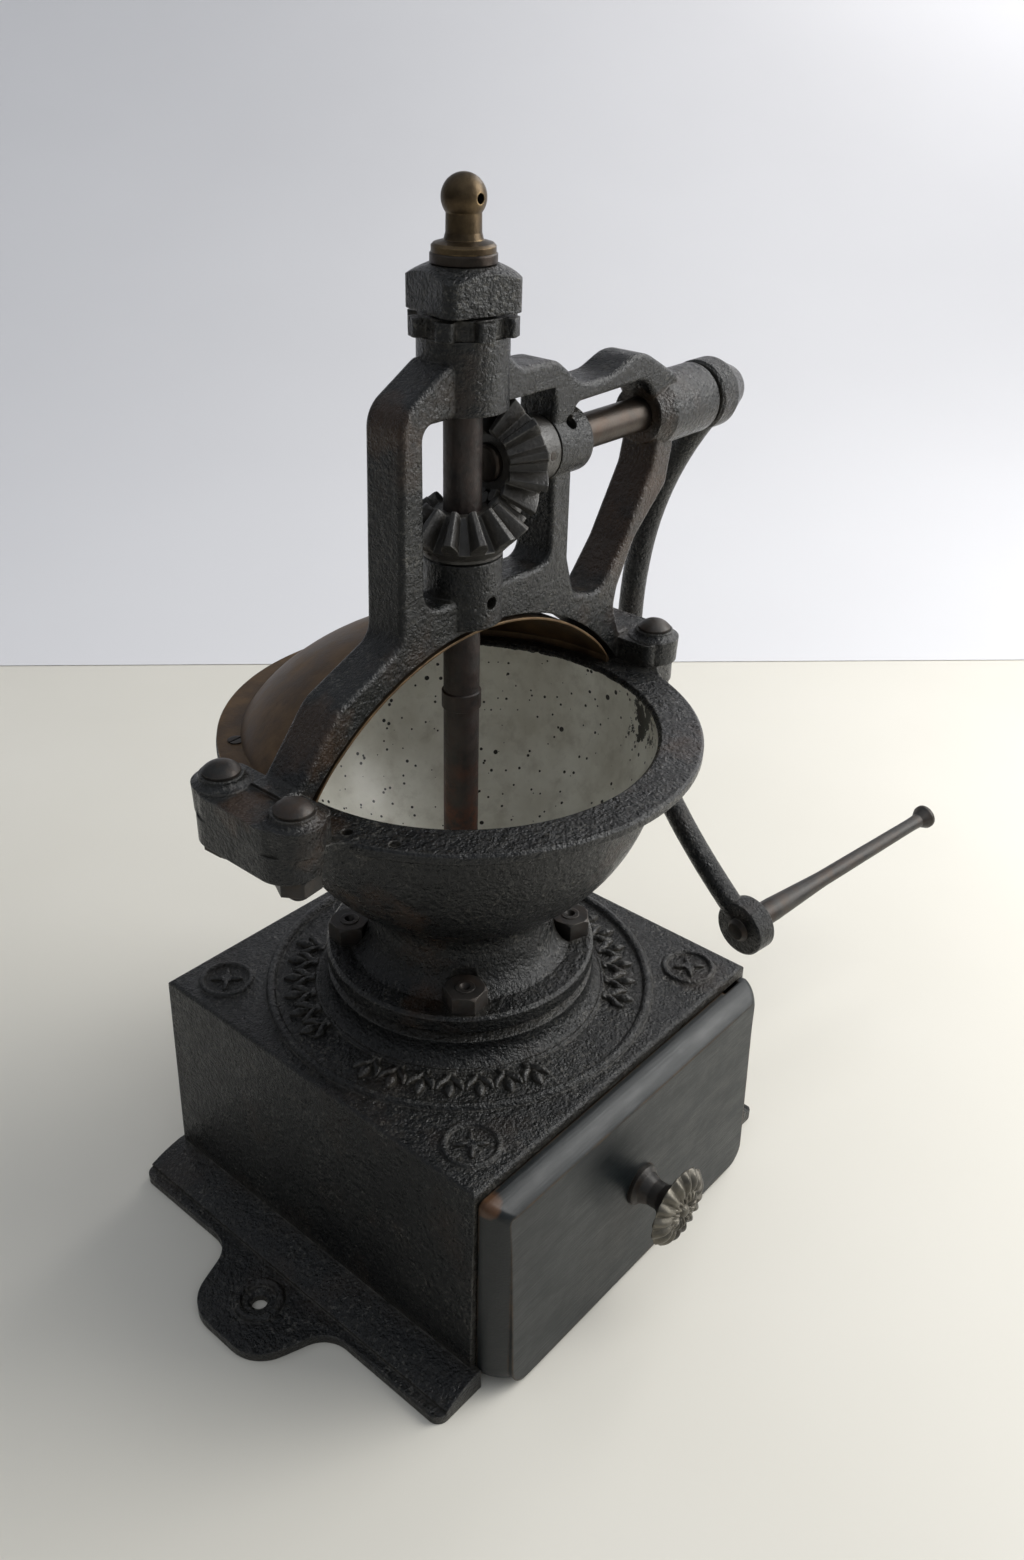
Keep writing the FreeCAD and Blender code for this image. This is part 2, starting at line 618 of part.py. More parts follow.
def bridge_casting():
    """A window-framed arch that carries both shafts over the hopper."""
    crank_z = D.crank_height
    adds = [rod("top_boss_iron", D.top_boss, D.top_boss_high - D.top_boss_low, 0, 0, D.top_boss_low),
            rod("low_boss_iron", D.low_boss, D.low_boss_high - D.low_boss_low, 0, 0, D.low_boss_low),
            rod("inner_boss_iron", D.inner_boss, D.inner_boss_end - 41.0, 41.0, 0, crank_z, "+X"),
            turned("outer_boss_iron", [(3, 0), (D.outer_boss - 3, 0), (D.outer_boss, 8),
                                       (D.outer_boss, D.outer_boss_end - D.outer_boss_start - 1.5),
                                       (D.outer_boss - 1.5, D.outer_boss_end - D.outer_boss_start),
                                       (3, D.outer_boss_end - D.outer_boss_start)],
                   D.outer_boss_start, 0, crank_z, "+X")]
    outer, inner, half, corner = mm(D.ear_reach), mm(D.pad_inner), mm(D.ear_half) - 1.5, mm(D.ear_corner)
    for side, sign in SIDES:
        adds.append(loose(f"pad_{side}", slab([(sign * x, y, r) for x, y, r in (
            (inner, -half, 4), (outer, -half, corner), (outer, half, corner), (inner, half, 4))
        ], mm(D.rim_top), mm(D.pad_top) - 3.4, False)))
    adds += [turned(f"pad_boss_{i}", [
        (2, D.rim_top), (10.4, D.rim_top), (10.8, D.pad_top - 3, 3.2), (7.9, D.pad_top),
        (2, D.pad_top)], x, y, 0) for i, (x, y) in enumerate(bolt_spots())]
    pin_way = FreeCAD.Rotation(V(0, 0, 1), V(0, -1, 1))
    oil_way = rod("inner_oil_way", D.oil_hole, 20, 50, 0, crank_z)
    oil_way.Placement = FreeCAD.Placement(oil_way.Placement.Base, pin_way)
    gap = D.shaft_radius + D.running_gap
    cuts = [rod("bush_bore", D.bush_radius + D.running_gap, 30, 0, 0, D.top_boss_low - 2),
            rod("shaft_bore", gap, 40, 0, 0, D.low_boss_low - 8),
            rod("crank_bore", gap, 130, 30, 0, crank_z, "+X"),
            rod("gear_relief", 25.4, 31, 9.5, 0, crank_z, "+X"),
            rod("low_oil_way", D.oil_hole, 20, 0, -2, 283.3, "-Y"), oil_way]
    cuts += [rod(f"pad_hole_{i}", D.bolt_radius + 0.1, 22, x, y, D.rim_top - 2)
             for i, (x, y) in enumerate(bolt_spots())]
    return cut("bridge_casting", join("bridge_iron", bridge_plate(), *adds), *cuts)


def bridge_bolts():
    """Long bolts with low domed heads."""
    bolts = []
    head, edge, rise = 6.9, 1.0, 3.2
    crown = (head ** 2 + rise ** 2) / (2 * rise)
    for i, (x, y) in enumerate(bolt_spots()):
        bolts.append(turned(f"bridge_bolt_{i}", [
            (0, D.pad_top - 34.5), (D.bolt_radius - 1, D.pad_top - 34.5),
            (D.bolt_radius, D.pad_top - 33.5), (D.bolt_radius, D.pad_top), (head, D.pad_top),
            (head, D.pad_top + edge, -crown), (0, D.pad_top + edge + rise)], x, y, 0))
    return group("bridge_bolts", bolts)


def bridge_nuts():
    turns = (5, 33, 17, 48)
    return group("bridge_nuts", [
        hex_nut(f"bridge_nut_{i}", 14.6, 6.6, D.bolt_radius, x, y, D.ear_bottom - 6.6, turns[i])
        for i, (x, y) in enumerate(bolt_spots())])


# ---------------------------------------------------------------- rear cover

def rear_cover():
    """A spun brass half dome with a flat rim flange behind the bridge."""
    sheet_t = D.cover_sheet
    outer, middle = mm(D.cover_radius), mm(D.cover_centre)
    inner = outer - mm(sheet_t)
    brk, base = mm(D.cover_break), mm(D.cover_base)
    hole = 8.0
    seat = D.rim_top
    dome = turned("cover_spinning", [
        (hole, middle + math.sqrt(outer ** 2 - hole ** 2), outer),
        (D.cover_break, middle + math.sqrt(outer ** 2 - brk ** 2), 60),
        (D.cover_base, seat + 3), (D.cover_base + 1.2, seat + 1.1),
        (D.rim_radius - 0.4, seat + 1.1), (D.rim_radius - 0.4, seat), (D.cover_base - sheet_t, seat),
        (D.cover_base - sheet_t, seat + 3, -60),
        (brk - 0.6, middle + math.sqrt(inner ** 2 - (brk - 0.6) ** 2), -inner),
        (hole, middle + math.sqrt(inner ** 2 - hole ** 2))])
    front = block("cover_front_cut", (-130, -130, seat - 2), (130, -D.cover_front, seat + 60))
    lower = [block(f"cover_pad_cut_{side}", (size(sign * 95) - 9.4, -40, seat - 2),
                   (size(sign * 95) + 9.4, D.ear_half + 2, seat + 1.6)) for side, sign in SIDES]
    sinks = [cone(f"cover_sink_{side}", 1.7, 3.4, 1.7, sign * D.cover_screw_x, D.cover_screw_y,
                  seat - 0.2) for side, sign in SIDES]
    return cut("rear_cover", dome, front, *lower, *sinks)


def cover_screws():
    screws = []
    for side, sign in SIDES:
        x, y = sign * D.cover_screw_x, D.cover_screw_y
        shank = rod(f"cover_shank_{side}", 1.6, 6, x, y, D.rim_top - 6)
        head = cone(f"cover_head_{side}", 1.6, 3.1, 1.5, x, y, D.rim_top)
        slot = block(f"cover_slot_{side}", (x - 4, y - 0.4, D.rim_top + 0.9),
                     (x + 4, y + 0.4, D.rim_top + 3))
        screws.append(cut(f"cover_screw_{side}", join(f"cover_solid_{side}", shank, head), slot))
    return group("cover_screws", screws)


# ---------------------------------------------------------------- gears

def bevel_tooth(module, teeth, face, backlash):
    """One tooth of a mitre gear: apex at the origin, axis +Z, tooth centred on +X."""
    pitch = module * teeth / 2
    slant = pitch * math.sqrt(2)
    base = slant * math.cos(math.radians(20))
    toe = (slant - face) / slant
    involute = math.tan(math.radians(20)) - math.radians(20)

    def half_angle(reach):
        pressure = math.acos(min(1.0, base / reach))
        return (math.pi * math.sqrt(0.5) / (2 * teeth) + involute
                - (math.tan(pressure) - pressure) - backlash / (2 * slant))

    reaches = [slant - 1.45 * module, base, slant - 0.2 * module, slant + 0.4 * module,
               slant + 0.9 * module]
    left, right = [], []
    for reach in reaches:
        around = half_angle(reach) * math.sqrt(2)
        radius, along = reach * math.sqrt(0.5), 2 * pitch - reach * math.sqrt(0.5)
        right.append(V(radius * math.cos(around), -radius * math.sin(around), along))
        left.append(V(radius * math.cos(around), radius * math.sin(around), along))
    faces = []

    def quad(*corners):
        faces.append(Part.Face(Part.makePolygon(list(corners) + [corners[0]])))

    for i in range(len(reaches) - 1):
        a, b, c, d = right[i], right[i + 1], left[i + 1], left[i]
        quad(a, b, c, d)
        quad(a * toe, b * toe, c * toe, d * toe)
        quad(a, b, b * toe, a * toe)
        quad(d, c, c * toe, d * toe)
    quad(right[0], left[0], left[0] * toe, right[0] * toe)
    quad(right[-1], left[-1], left[-1] * toe, right[-1] * toe)
    solid = Part.Solid(Part.Shell(faces))
    if solid.Volume < 0:
        solid.reverse()
    return solid


def gear_blank(name, hub_radius, hub_end):
    """The turned body under the teeth; apex at the origin and the hub towards +Z."""
    module = mm(D.gear_pitch) * 2 / mm(D.gear_teeth)
    slant = mm(D.gear_pitch) * math.sqrt(2)
    toe = (slant - mm(D.gear_face)) / slant
    root = (slant - 1.3 * module) * math.sqrt(0.5)
    along = 2 * mm(D.gear_pitch) - root
    flare = 2 * mm(D.gear_pitch) - mm(hub_radius)
    return turned(name, [
        (D.shaft_radius, toe * along), (toe * root, toe * along), (root, along),
        (hub_radius, flare), (hub_radius, hub_end), (D.shaft_radius, hub_end)])


def bevel_gear(name, hub_radius, hub_end, phase, turn):
    """A mitre gear fused from its blank and teeth, then laid on its axis."""
    module = mm(D.gear_pitch) * 2 / mm(D.gear_teeth)
    teeth = int(mm(D.gear_teeth))
    tooth = bevel_tooth(module, teeth, mm(D.gear_face), 0.3)
    blank = gear_blank(name + "_blank", hub_radius, hub_end)
    doc.recompute()
    copies = []
    for i in range(teeth):
        copy = tooth.copy()
        copy.rotate(V(), V(0, 0, 1), phase + 360.0 * i / teeth)
        copies.append(copy)
    solid = blank.Shape.fuse(copies).removeSplitter()
    solid.Placement = FreeCAD.Placement(V(0, 0, mm(D.crank_height)), turn)
    return loose(name + "_toothed", solid)


def driven_gear():
    """The gear on the grinding shaft, hub down, a tooth facing the crank."""
    down = FreeCAD.Rotation(V(1, 0, 0), 180)
    toothed = bevel_gear("driven_gear", 15, D.crank_height - 300, 0, down)
    return cut("driven_gear", toothed,
               rod("driven_pin_hole", D.gear_pin, 40, -20, 0, 302.0, "+X"))


def drive_gear():
    """The gear on the crank shaft, hub towards the crank, a gap facing down."""
    outward = FreeCAD.Rotation(V(0, 1, 0), 90)
    toothed = bevel_gear("drive_gear", 12.6, 40.5, 15, outward)
    return cut("drive_gear", toothed,
               rod("drive_pin_hole", D.gear_pin, 40, 36, 20, D.crank_height, "-Y"))


def pin(name, length, x, y, z, axis):
    return rod(name, D.gear_pin, length, x, y, z, axis)


# ---------------------------------------------------------------- grinding shaft

def main_shaft():
    bore = D.shaft_radius
    body = turned("main_shaft_turning", [
        (0, 97), (bore - 1, 97), (bore, 98), (bore, 236), (bore + 0.7, 236.4), (bore + 0.7, 243),
        (bore, 243.4), (bore, D.washer_high), (4, D.washer_high), (4, 418), (0, 418)])
    holes = [rod("shaft_hole_burr", D.gear_pin, 40, -20, 0, D.burr_high + 1.5, "+X"),
             rod("shaft_hole_gear", D.gear_pin, 40, -20, 0, 302.0, "+X")]
    return cut("main_shaft", body, *holes)


def finial():
    collar, neck = D.collar_radius, D.finial_neck
    ball_foot = mm(D.ball_centre) - math.sqrt(mm(D.ball_radius) ** 2 - (mm(neck) - 0.1) ** 2)
    body = turned("finial_turning", [
        (4, D.washer_high), (collar, D.washer_high), (collar, 406.0), (collar - 0.8, D.collar_high),
        (neck + 0.6, 407.8), (neck, 410), (neck - 0.1, ball_foot, -D.ball_radius),
        (0, D.ball_centre + D.ball_radius), (0, 418), (4, 418)])
    return cut("finial", body, rod("finial_eye", 1.7, 24, 0, 12, D.ball_centre, "-Y"))


def adjusting_bush():
    """Threaded sleeve with a square head: turning it lifts or lowers the grinding shaft."""
    bore = mm(D.shaft_radius) + mm(D.running_gap)
    low, high, half = mm(D.head_low), mm(D.head_high), mm(D.head_side) / 2
    head = slab([(-half, -half, 5), (half, -half, 5), (half, half, 5), (-half, half, 5)],
                low, high, False)
    head = head.common(Part.makeSphere(35.4, V(0, 0, high - 33.3)))
    head.rotate(V(), V(0, 0, 1), 75.6)
    sleeve = rod("bush_sleeve", D.bush_radius, D.head_low - 354, 0, 0, 354)
    return cut("adjusting_bush", join("bush_solid", sleeve, loose("bush_head", head)),
               rod("bush_hole", bore, 60, 0, 0, 350))


def lock_ring():
    """The castellated ring that jams the adjusting bush against the bridge."""
    low, lobe_count, lobe_half = D.top_boss_high + 0.1, 8, 3.2
    body = rod("lock_ring_body", D.lock_radius, D.lock_high - low, 0, 0, low)
    inner, outer = mm(D.lock_radius) - 3, mm(D.lock_radius) + mm(D.lock_lobe)
    lobe = slab([(inner, -lobe_half, 0), (outer, -lobe_half, 1.4), (outer, lobe_half, 1.4),
                 (inner, lobe_half, 0)], mm(low) + 0.2, mm(D.lock_high) - 0.3, False)
    lobes = []
    for i in range(lobe_count):
        copy = lobe.copy()
        copy.rotate(V(), V(0, 0, 1), 360.0 * (i + 0.5) / lobe_count)
        lobes.append(copy)
    return cut("lock_ring", join("lock_ring_solid", body, loose("lock_lobes", Part.makeCompound(lobes))),
               rod("lock_ring_bore", D.bush_radius + D.running_gap, 20, 0, 0, low - 5))


def thrust_washer():
    gap = D.shaft_radius + D.running_gap
    return turned("thrust_washer", [
        (gap, D.head_high), (D.washer_radius - 0.5, D.head_high), (D.washer_radius, D.head_high + 0.5),
        (D.washer_radius, D.washer_high - 0.5), (D.washer_radius - 0.5, D.washer_high),
        (gap, D.washer_high)])


# ---------------------------------------------------------------- crank

def crank_shaft():
    bore, start = D.shaft_radius, 11.0
    body = turned("crank_shaft_turning", [
        (0, 0), (bore - 0.8, 0), (bore, 0.8), (bore, D.hub_end - start), (bore - 0.5, D.hub_end - start),
        (bore - 0.5, D.shaft_end - start - 1), (bore - 1.5, D.shaft_end - start),
        (0, D.shaft_end - start)], start, 0, D.crank_height, "+X")
    return cut("crank_shaft", body,
               rod("crank_pin_hole", D.gear_pin, 40, 36, 20, D.crank_height, "-Y"))


def grip_direction():
    yaw, pitch = math.radians(mm(D.spindle_yaw)), math.radians(mm(D.spindle_pitch))
    return V(math.cos(pitch) * math.cos(yaw), -math.cos(pitch) * math.sin(yaw), math.sin(pitch))


def tangent_arcs(points, direction):
    """A smooth wire of arcs in a plane of constant x, each leaving where the last one pointed."""
    edges = []
    for begin, end in zip(points, points[1:]):
        chord = end - begin
        normal = V(0, -direction.z, direction.y)
        radius = chord.Length ** 2 / (2 * chord.dot(normal))
        centre = begin + normal * radius
        middle = centre + ((begin + end) * 0.5 - centre).normalize() * abs(radius)
        edges.append(Part.Arc(begin, middle, end).toShape())
        direction = chord.normalize() * (2 * direction.dot(chord)) - direction
    return Part.Wire(edges)


def crank_arm():
    """A round forged arm: tapered hub above, swept arm, and an eye for the handle below."""
    hub_length = D.hub_end - D.hub_start
    hub = turned("arm_hub", [
        (3, 0), (D.hub_radius - 1, 0), (D.hub_radius, 1.2), (D.hub_radius, 11), (12.4, 17),
        (9.4, hub_length - 0.6), (8.6, hub_length), (3, hub_length)],
        D.hub_start, 0, D.crank_height, "+X")
    plane, radius = mm(D.arm_plane), mm(D.arm_radius)
    eye = V(plane, mm(D.grip_y), mm(D.grip_z))
    stations = [V(plane, y, z) for y, z in ((2, 318), (29.8, 250), (32.4, 200), (15, 145), (-18, 102))]
    lean = math.radians(35.3)
    start = V(0, math.sin(lean), -math.cos(lean))
    circle = Part.Wire(Part.makeCircle(radius, stations[0], start))
    arm = tangent_arcs(stations + [eye], start).makePipeShell([circle], True, True)
    way = grip_direction()
    half = mm(D.grip_boss_thick) / 2
    boss = Part.makeCylinder(mm(D.grip_boss), 2 * half, eye - way * half, way)
    boss = boss.makeChamfer(1.0, [e for e in boss.Edges if len(e.Vertexes) == 1])
    solid = join("arm_solid", hub, loose("arm_sweep", arm), loose("arm_eye", boss))
    eye_bore = rod("arm_eye_bore", 5, 40)
    eye_bore.Placement = FreeCAD.Placement(eye - way * 20, FreeCAD.Rotation(V(0, 0, 1), way))
    return cut("crank_arm", solid, eye_bore,
               rod("arm_bore", D.shaft_radius, 60, D.hub_start - 10, 0, D.crank_height, "+X"))


def handle_spindle():
    """The riveted steel spindle that the wooden grip turned on."""
    half, length = D.grip_boss_thick / 2, D.spindle_length
    body = turned("handle_spindle", [
        (0, -half - 2.5), (4.5, -half - 2.2), (6.5, -half), (5, -half), (5, half), (6.4, half),
        (6.2, half + 14), (4.3, half + 52), (3.7, length - 14), (3.9, length - 7), (6.6, length - 1.6),
        (6.6, length), (0, length)])
    way = grip_direction()
    spot = V(mm(D.arm_plane), mm(D.grip_y), mm(D.grip_z))
    body.Placement = FreeCAD.Placement(spot, FreeCAD.Rotation(V(0, 0, 1), way))
    return body


# ---------------------------------------------------------------- drawer

def front_outline(inset, y):
    """The front board's outline at one depth: square below, drawn in at the sides and top."""
    half, low, high = mm(D.front_half) - inset, mm(D.front_bottom), mm(D.front_top) - inset
    corners = [(-half, low, 9), (half, low, 9), (half, high, 3), (-half, high, 3)]
    return outline(corners, lambda p: V(p.x, y, p.y))


def drawer_front():
    """A thick board whose left, right and top edges carry the same rounded moulding."""
    back, low, high = -mm(D.front_back), mm(D.front_bottom), mm(D.front_top)
    bevel, shoulder, lip = mm(D.front_bevel), back - 2.2, back - 11.1
    face_high, face_low = -mm(D.front_face_high), -mm(D.front_face_low)
    curve, steps = bulged(V(0, shoulder, 0), V(bevel, lip, 0), -15), 8
    spots = curve.toShape().discretize(steps + 1)
    depths = [(0, back)] + [(p.x, p.y) for p in spots] + [(bevel, lip - 8)]
    moulded = loose("front_moulded", Part.makeLoft([front_outline(*d) for d in depths], True, True))
    side = padded("front_section", [
        (back + 1, low - 1), (back + 1, high + 1), (lip - 0.3, high + 1), (lip - 0.3, high - bevel),
        (face_high, high - bevel), (face_low, low), (face_low, low - 1)],
        D.front_half * 2 + 8, "YZ_Plane")
    chip = block("front_chip", (71, shoulder + 0.8, high - 3.2), (82.5, back + 1, high + 1))
    board = cut("front_board", common("front_slope", moulded, side), chip)
    inside = D.drawer_half - D.board
    tongue = block("front_tongue", (-inside, back - 0.5, low + 3), (inside, back + 6.5, D.drawer_high))
    solid = join("front_solid", board, tongue)
    nails = [rod(f"front_nail_{i}", 0.9, D.board + 9, x, y, z, "+X")
             for i, (x, y, z) in enumerate(nail_spots()[:4])]
    return cut("drawer_front", solid, *nails,
               rod("stem_seat", 9, 20, 0, -D.knob_seat, D.knob_height, "-Y"),
               rod("knob_bore", 2.2, 60, 0, -70, D.knob_height, "-Y"))


def nail_spots():
    """Nails go through each side into the front tongue and into the back board."""
    left, right = -D.drawer_half, D.drawer_half - D.board - 9
    front_y, back_y = -D.front_back + 3.2, D.drawer_back - 3.5
    return [(x, y, z) for y in (front_y, back_y) for x in (left, right) for z in (22, 66)]


def drawer_sides():
    inside, outside = D.drawer_half - D.board, D.drawer_half
    sides = []
    for i, (side, sign) in enumerate(SIDES):
        low_x, high_x = (-outside, -inside) if sign < 0 else (inside, outside)
        board = block(f"side_board_{side}", (low_x, -D.front_back + 0.05, D.drawer_low),
                      (high_x, D.drawer_back, D.drawer_high))
        holes = [rod(f"side_nail_{side}_{j}", 0.9, D.board + 9, x, y, z, "+X")
                 for j, (x, y, z) in enumerate(nail_spots()) if (j // 2) % 2 == i]
        sides.append(cut(f"drawer_side_{side}", board, *holes))
    return sides


def drawer_rear():
    inside = D.drawer_half - D.board
    board = block("rear_board", (-inside, D.drawer_back - 7, D.drawer_low),
                  (inside, D.drawer_back, D.drawer_high))
    holes = [rod(f"rear_nail_{j}", 0.9, D.board + 9, x, y, z, "+X")
             for j, (x, y, z) in enumerate(nail_spots()[4:])]
    return cut("drawer_back", board, *holes)


def drawer_bottom():
    inside = D.drawer_half - D.board
    return block("drawer_bottom", (-inside, -D.front_back + 6.5, D.drawer_low + 1),
                 (inside, D.drawer_back - 7, D.drawer_low + 5))


def drawer_nails():
    return group("drawer_nails", [rod(f"drawer_nail_{i}", 0.9, D.board + 9, x, y, z, "+X")
                                  for i, (x, y, z) in enumerate(nail_spots())])


def knob_parts():
    stem = turned("knob_stem", [
        (2.2, 0), (9, 0), (9, 2.6), (7.2, 4.2), (5.8, 8), (5.8, 12), (8.4, 16.2), (8.6, 18), (2.2, 18)],
        0, -D.knob_seat, D.knob_height, "-Y")
    brim = D.rosette_radius
    rosette = turned("knob_rosette", [
        (0, 18), (brim - 2, 18), (brim, 19.6), (brim, 20.8), (brim - 2.4, 22.4), (brim - 8, 23.8),
        (0, 24.6)], 0, -D.knob_seat, D.knob_height, "-Y")
    screw = turned("knob_screw", [
        (0, 0), (4.2, 0), (4.2, 2.4), (2.2, 2.4), (2.2, 34), (0, 34)],
        0, -D.front_back + 9, D.knob_height, "-Y")
    return [stem, rosette, screw]


# ---------------------------------------------------------------- assembly and export

NODES = [
    box_casting(), floor_plate(), floor_screws(), hopper_casting(), neck_studs(), neck_nuts(),
    outer_burr(),
    machine_screws("burr_screws", burr_screw_spots(), D.burr_low, D.seat_height + 9),
    lower_bearing(),
    machine_screws("lower_bearing_screws", bearing_screw_spots(), 104, D.seat_height + 9),
    bridge_casting(), bridge_bolts(), bridge_nuts(), rear_cover(), cover_screws(),
    lock_ring(), adjusting_bush(), thrust_washer(),
    main_shaft(), driven_gear(), pin("driven_gear_pin", 30, -15, 0, 302.0, "+X"), grinding_burr(),
    pin("burr_pin", 28, -14, 0, D.burr_high + 1.5, "+X"), finial(),
    crank_shaft(), drive_gear(), pin("drive_gear_pin", 25.2, 36, 12.6, D.crank_height, "-Y"),
    crank_arm(), handle_spindle(),
    drawer_front(), *drawer_sides(), drawer_rear(), drawer_bottom(), drawer_nails(), *knob_parts(),
]

doc.recompute()
faults = [f"{o.Label}: {o.State}" for o in doc.Objects if {"Invalid", "Error"} & set(o.State)]
faults += [f"{o.Label}: bad shape" for o in NODES if o.Shape.isNull() or not o.Shape.isValid()]
if faults:
    raise SystemExit("\n".join(faults))

os.makedirs("parts", exist_ok=True)
for node in NODES:
    node.Shape.exportStep(f"parts/{node.Label}.step")
print(len(NODES), "nodes written")
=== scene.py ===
import json
import math

import bmesh
import bpy
from mathutils import Matrix, Vector


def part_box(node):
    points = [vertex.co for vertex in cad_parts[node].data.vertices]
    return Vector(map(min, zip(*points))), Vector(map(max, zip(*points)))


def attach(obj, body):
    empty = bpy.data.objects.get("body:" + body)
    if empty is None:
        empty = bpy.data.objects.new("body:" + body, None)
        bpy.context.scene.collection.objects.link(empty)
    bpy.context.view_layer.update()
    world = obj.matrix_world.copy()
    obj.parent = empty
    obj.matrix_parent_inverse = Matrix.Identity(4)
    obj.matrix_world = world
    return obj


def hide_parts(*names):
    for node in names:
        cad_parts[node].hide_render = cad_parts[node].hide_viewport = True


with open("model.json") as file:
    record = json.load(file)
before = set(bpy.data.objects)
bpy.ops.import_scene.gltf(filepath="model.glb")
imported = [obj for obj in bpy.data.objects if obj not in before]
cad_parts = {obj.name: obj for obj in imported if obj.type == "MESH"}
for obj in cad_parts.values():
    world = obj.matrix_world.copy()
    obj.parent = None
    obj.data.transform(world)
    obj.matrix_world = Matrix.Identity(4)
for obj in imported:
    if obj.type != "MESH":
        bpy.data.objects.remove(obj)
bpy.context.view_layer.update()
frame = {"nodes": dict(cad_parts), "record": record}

NODE = frame["nodes"]


# ---------------------------------------------------------------- material nodes

class Mat:
    """A small builder for node materials in object (row frame) coordinates."""

    def __init__(self, name):
        self.material = bpy.data.materials.new(name)
        self.material.use_nodes = True
        self.tree = self.material.node_tree
        self.bsdf = self.tree.nodes["Principled BSDF"]
        self.coords = self.tree.nodes.new("ShaderNodeTexCoord")
        self.position = self.coords.outputs["Object"]

    def node(self, kind, inputs=None, **settings):
        node = self.tree.nodes.new("ShaderNode" + kind)
        for key, value in settings.items():
            setattr(node, key, value)
        for key, value in (inputs or {}).items():
            self.feed(node.inputs[key], value)
        return node

    def feed(self, socket, value):
        if isinstance(value, bpy.types.NodeSocket):
            self.tree.links.new(value, socket)
        elif isinstance(value, (tuple, list)) and len(value) == 3 and socket.type == "RGBA":
            socket.default_value = (*value, 1)
        else:
            socket.default_value = value

    def math(self, operation, a, b=0.0, clamp=False):
        return self.node("Math", {0: a, 1: b}, operation=operation, use_clamp=clamp).outputs[0]

    def vmath(self, operation, a, b=(0, 0, 0)):
        node = self.node("VectorMath", {0: a, 1: b}, operation=operation)
        return node.outputs["Value" if operation in ("LENGTH", "DOT_PRODUCT", "DISTANCE") else "Vector"]

    def noise(self, scale, detail=3.0, rough=0.55, vector=None):
        vector = vector or self.position
        node = self.node("TexNoise", {"Vector": vector, "Scale": scale, "Detail": detail,
                                      "Roughness": rough})
        return node.outputs["Fac"]

    def voronoi(self, scale):
        return self.node("TexVoronoi", {"Vector": self.position, "Scale": scale}).outputs["Distance"]

    def remap(self, value, low, high, to_low=0.0, to_high=1.0):
        node = self.node("MapRange", {"Value": value, "From Min": low, "From Max": high,
                                      "To Min": to_low, "To Max": to_high}, clamp=True)
        return node.outputs[0]

    def mix(self, factor, a, b):
        node = self.node("Mix", data_type="RGBA")
        self.feed(node.inputs["Factor"], factor)
        self.feed(node.inputs["A"], a)
        self.feed(node.inputs["B"], b)
        return node.outputs["Result"]

    def bump(self, height, strength, distance, normal=None):
        inputs = {"Height": height, "Strength": strength, "Distance": distance}
        if normal is not None:
            inputs["Normal"] = normal
        return self.node("Bump", inputs).outputs["Normal"]

    def recess(self, distance):
        """1 in corners and recesses, 0 in the open."""
        node = self.node("AmbientOcclusion", {"Distance": distance}, samples=6, only_local=False)
        return self.remap(node.outputs["AO"], 0.45, 0.95, 1.0, 0.0)

    def edge(self, radius, low=0.02, high=0.22):
        """1 along sharp edges, 0 on flat faces."""
        soft = self.node("Bevel", {"Radius": radius}, samples=6).outputs["Normal"]
        flat = self.node("NewGeometry").outputs["Normal"]
        return self.remap(self.math("SUBTRACT", 1.0, self.vmath("DOT_PRODUCT", soft, flat)), low * 0.1, high)

    def up(self, low=0.35, high=0.95):
        """How far a face looks upwards in the part's own frame."""
        normal = self.node("SeparateXYZ", {0: self.coords.outputs["Normal"]})
        return self.remap(normal.outputs["Z"], low, high)

    def finish(self, **sockets):
        for name, value in sockets.items():
            self.feed(self.bsdf.inputs[name.replace("_", " ")], value)
        return self.material


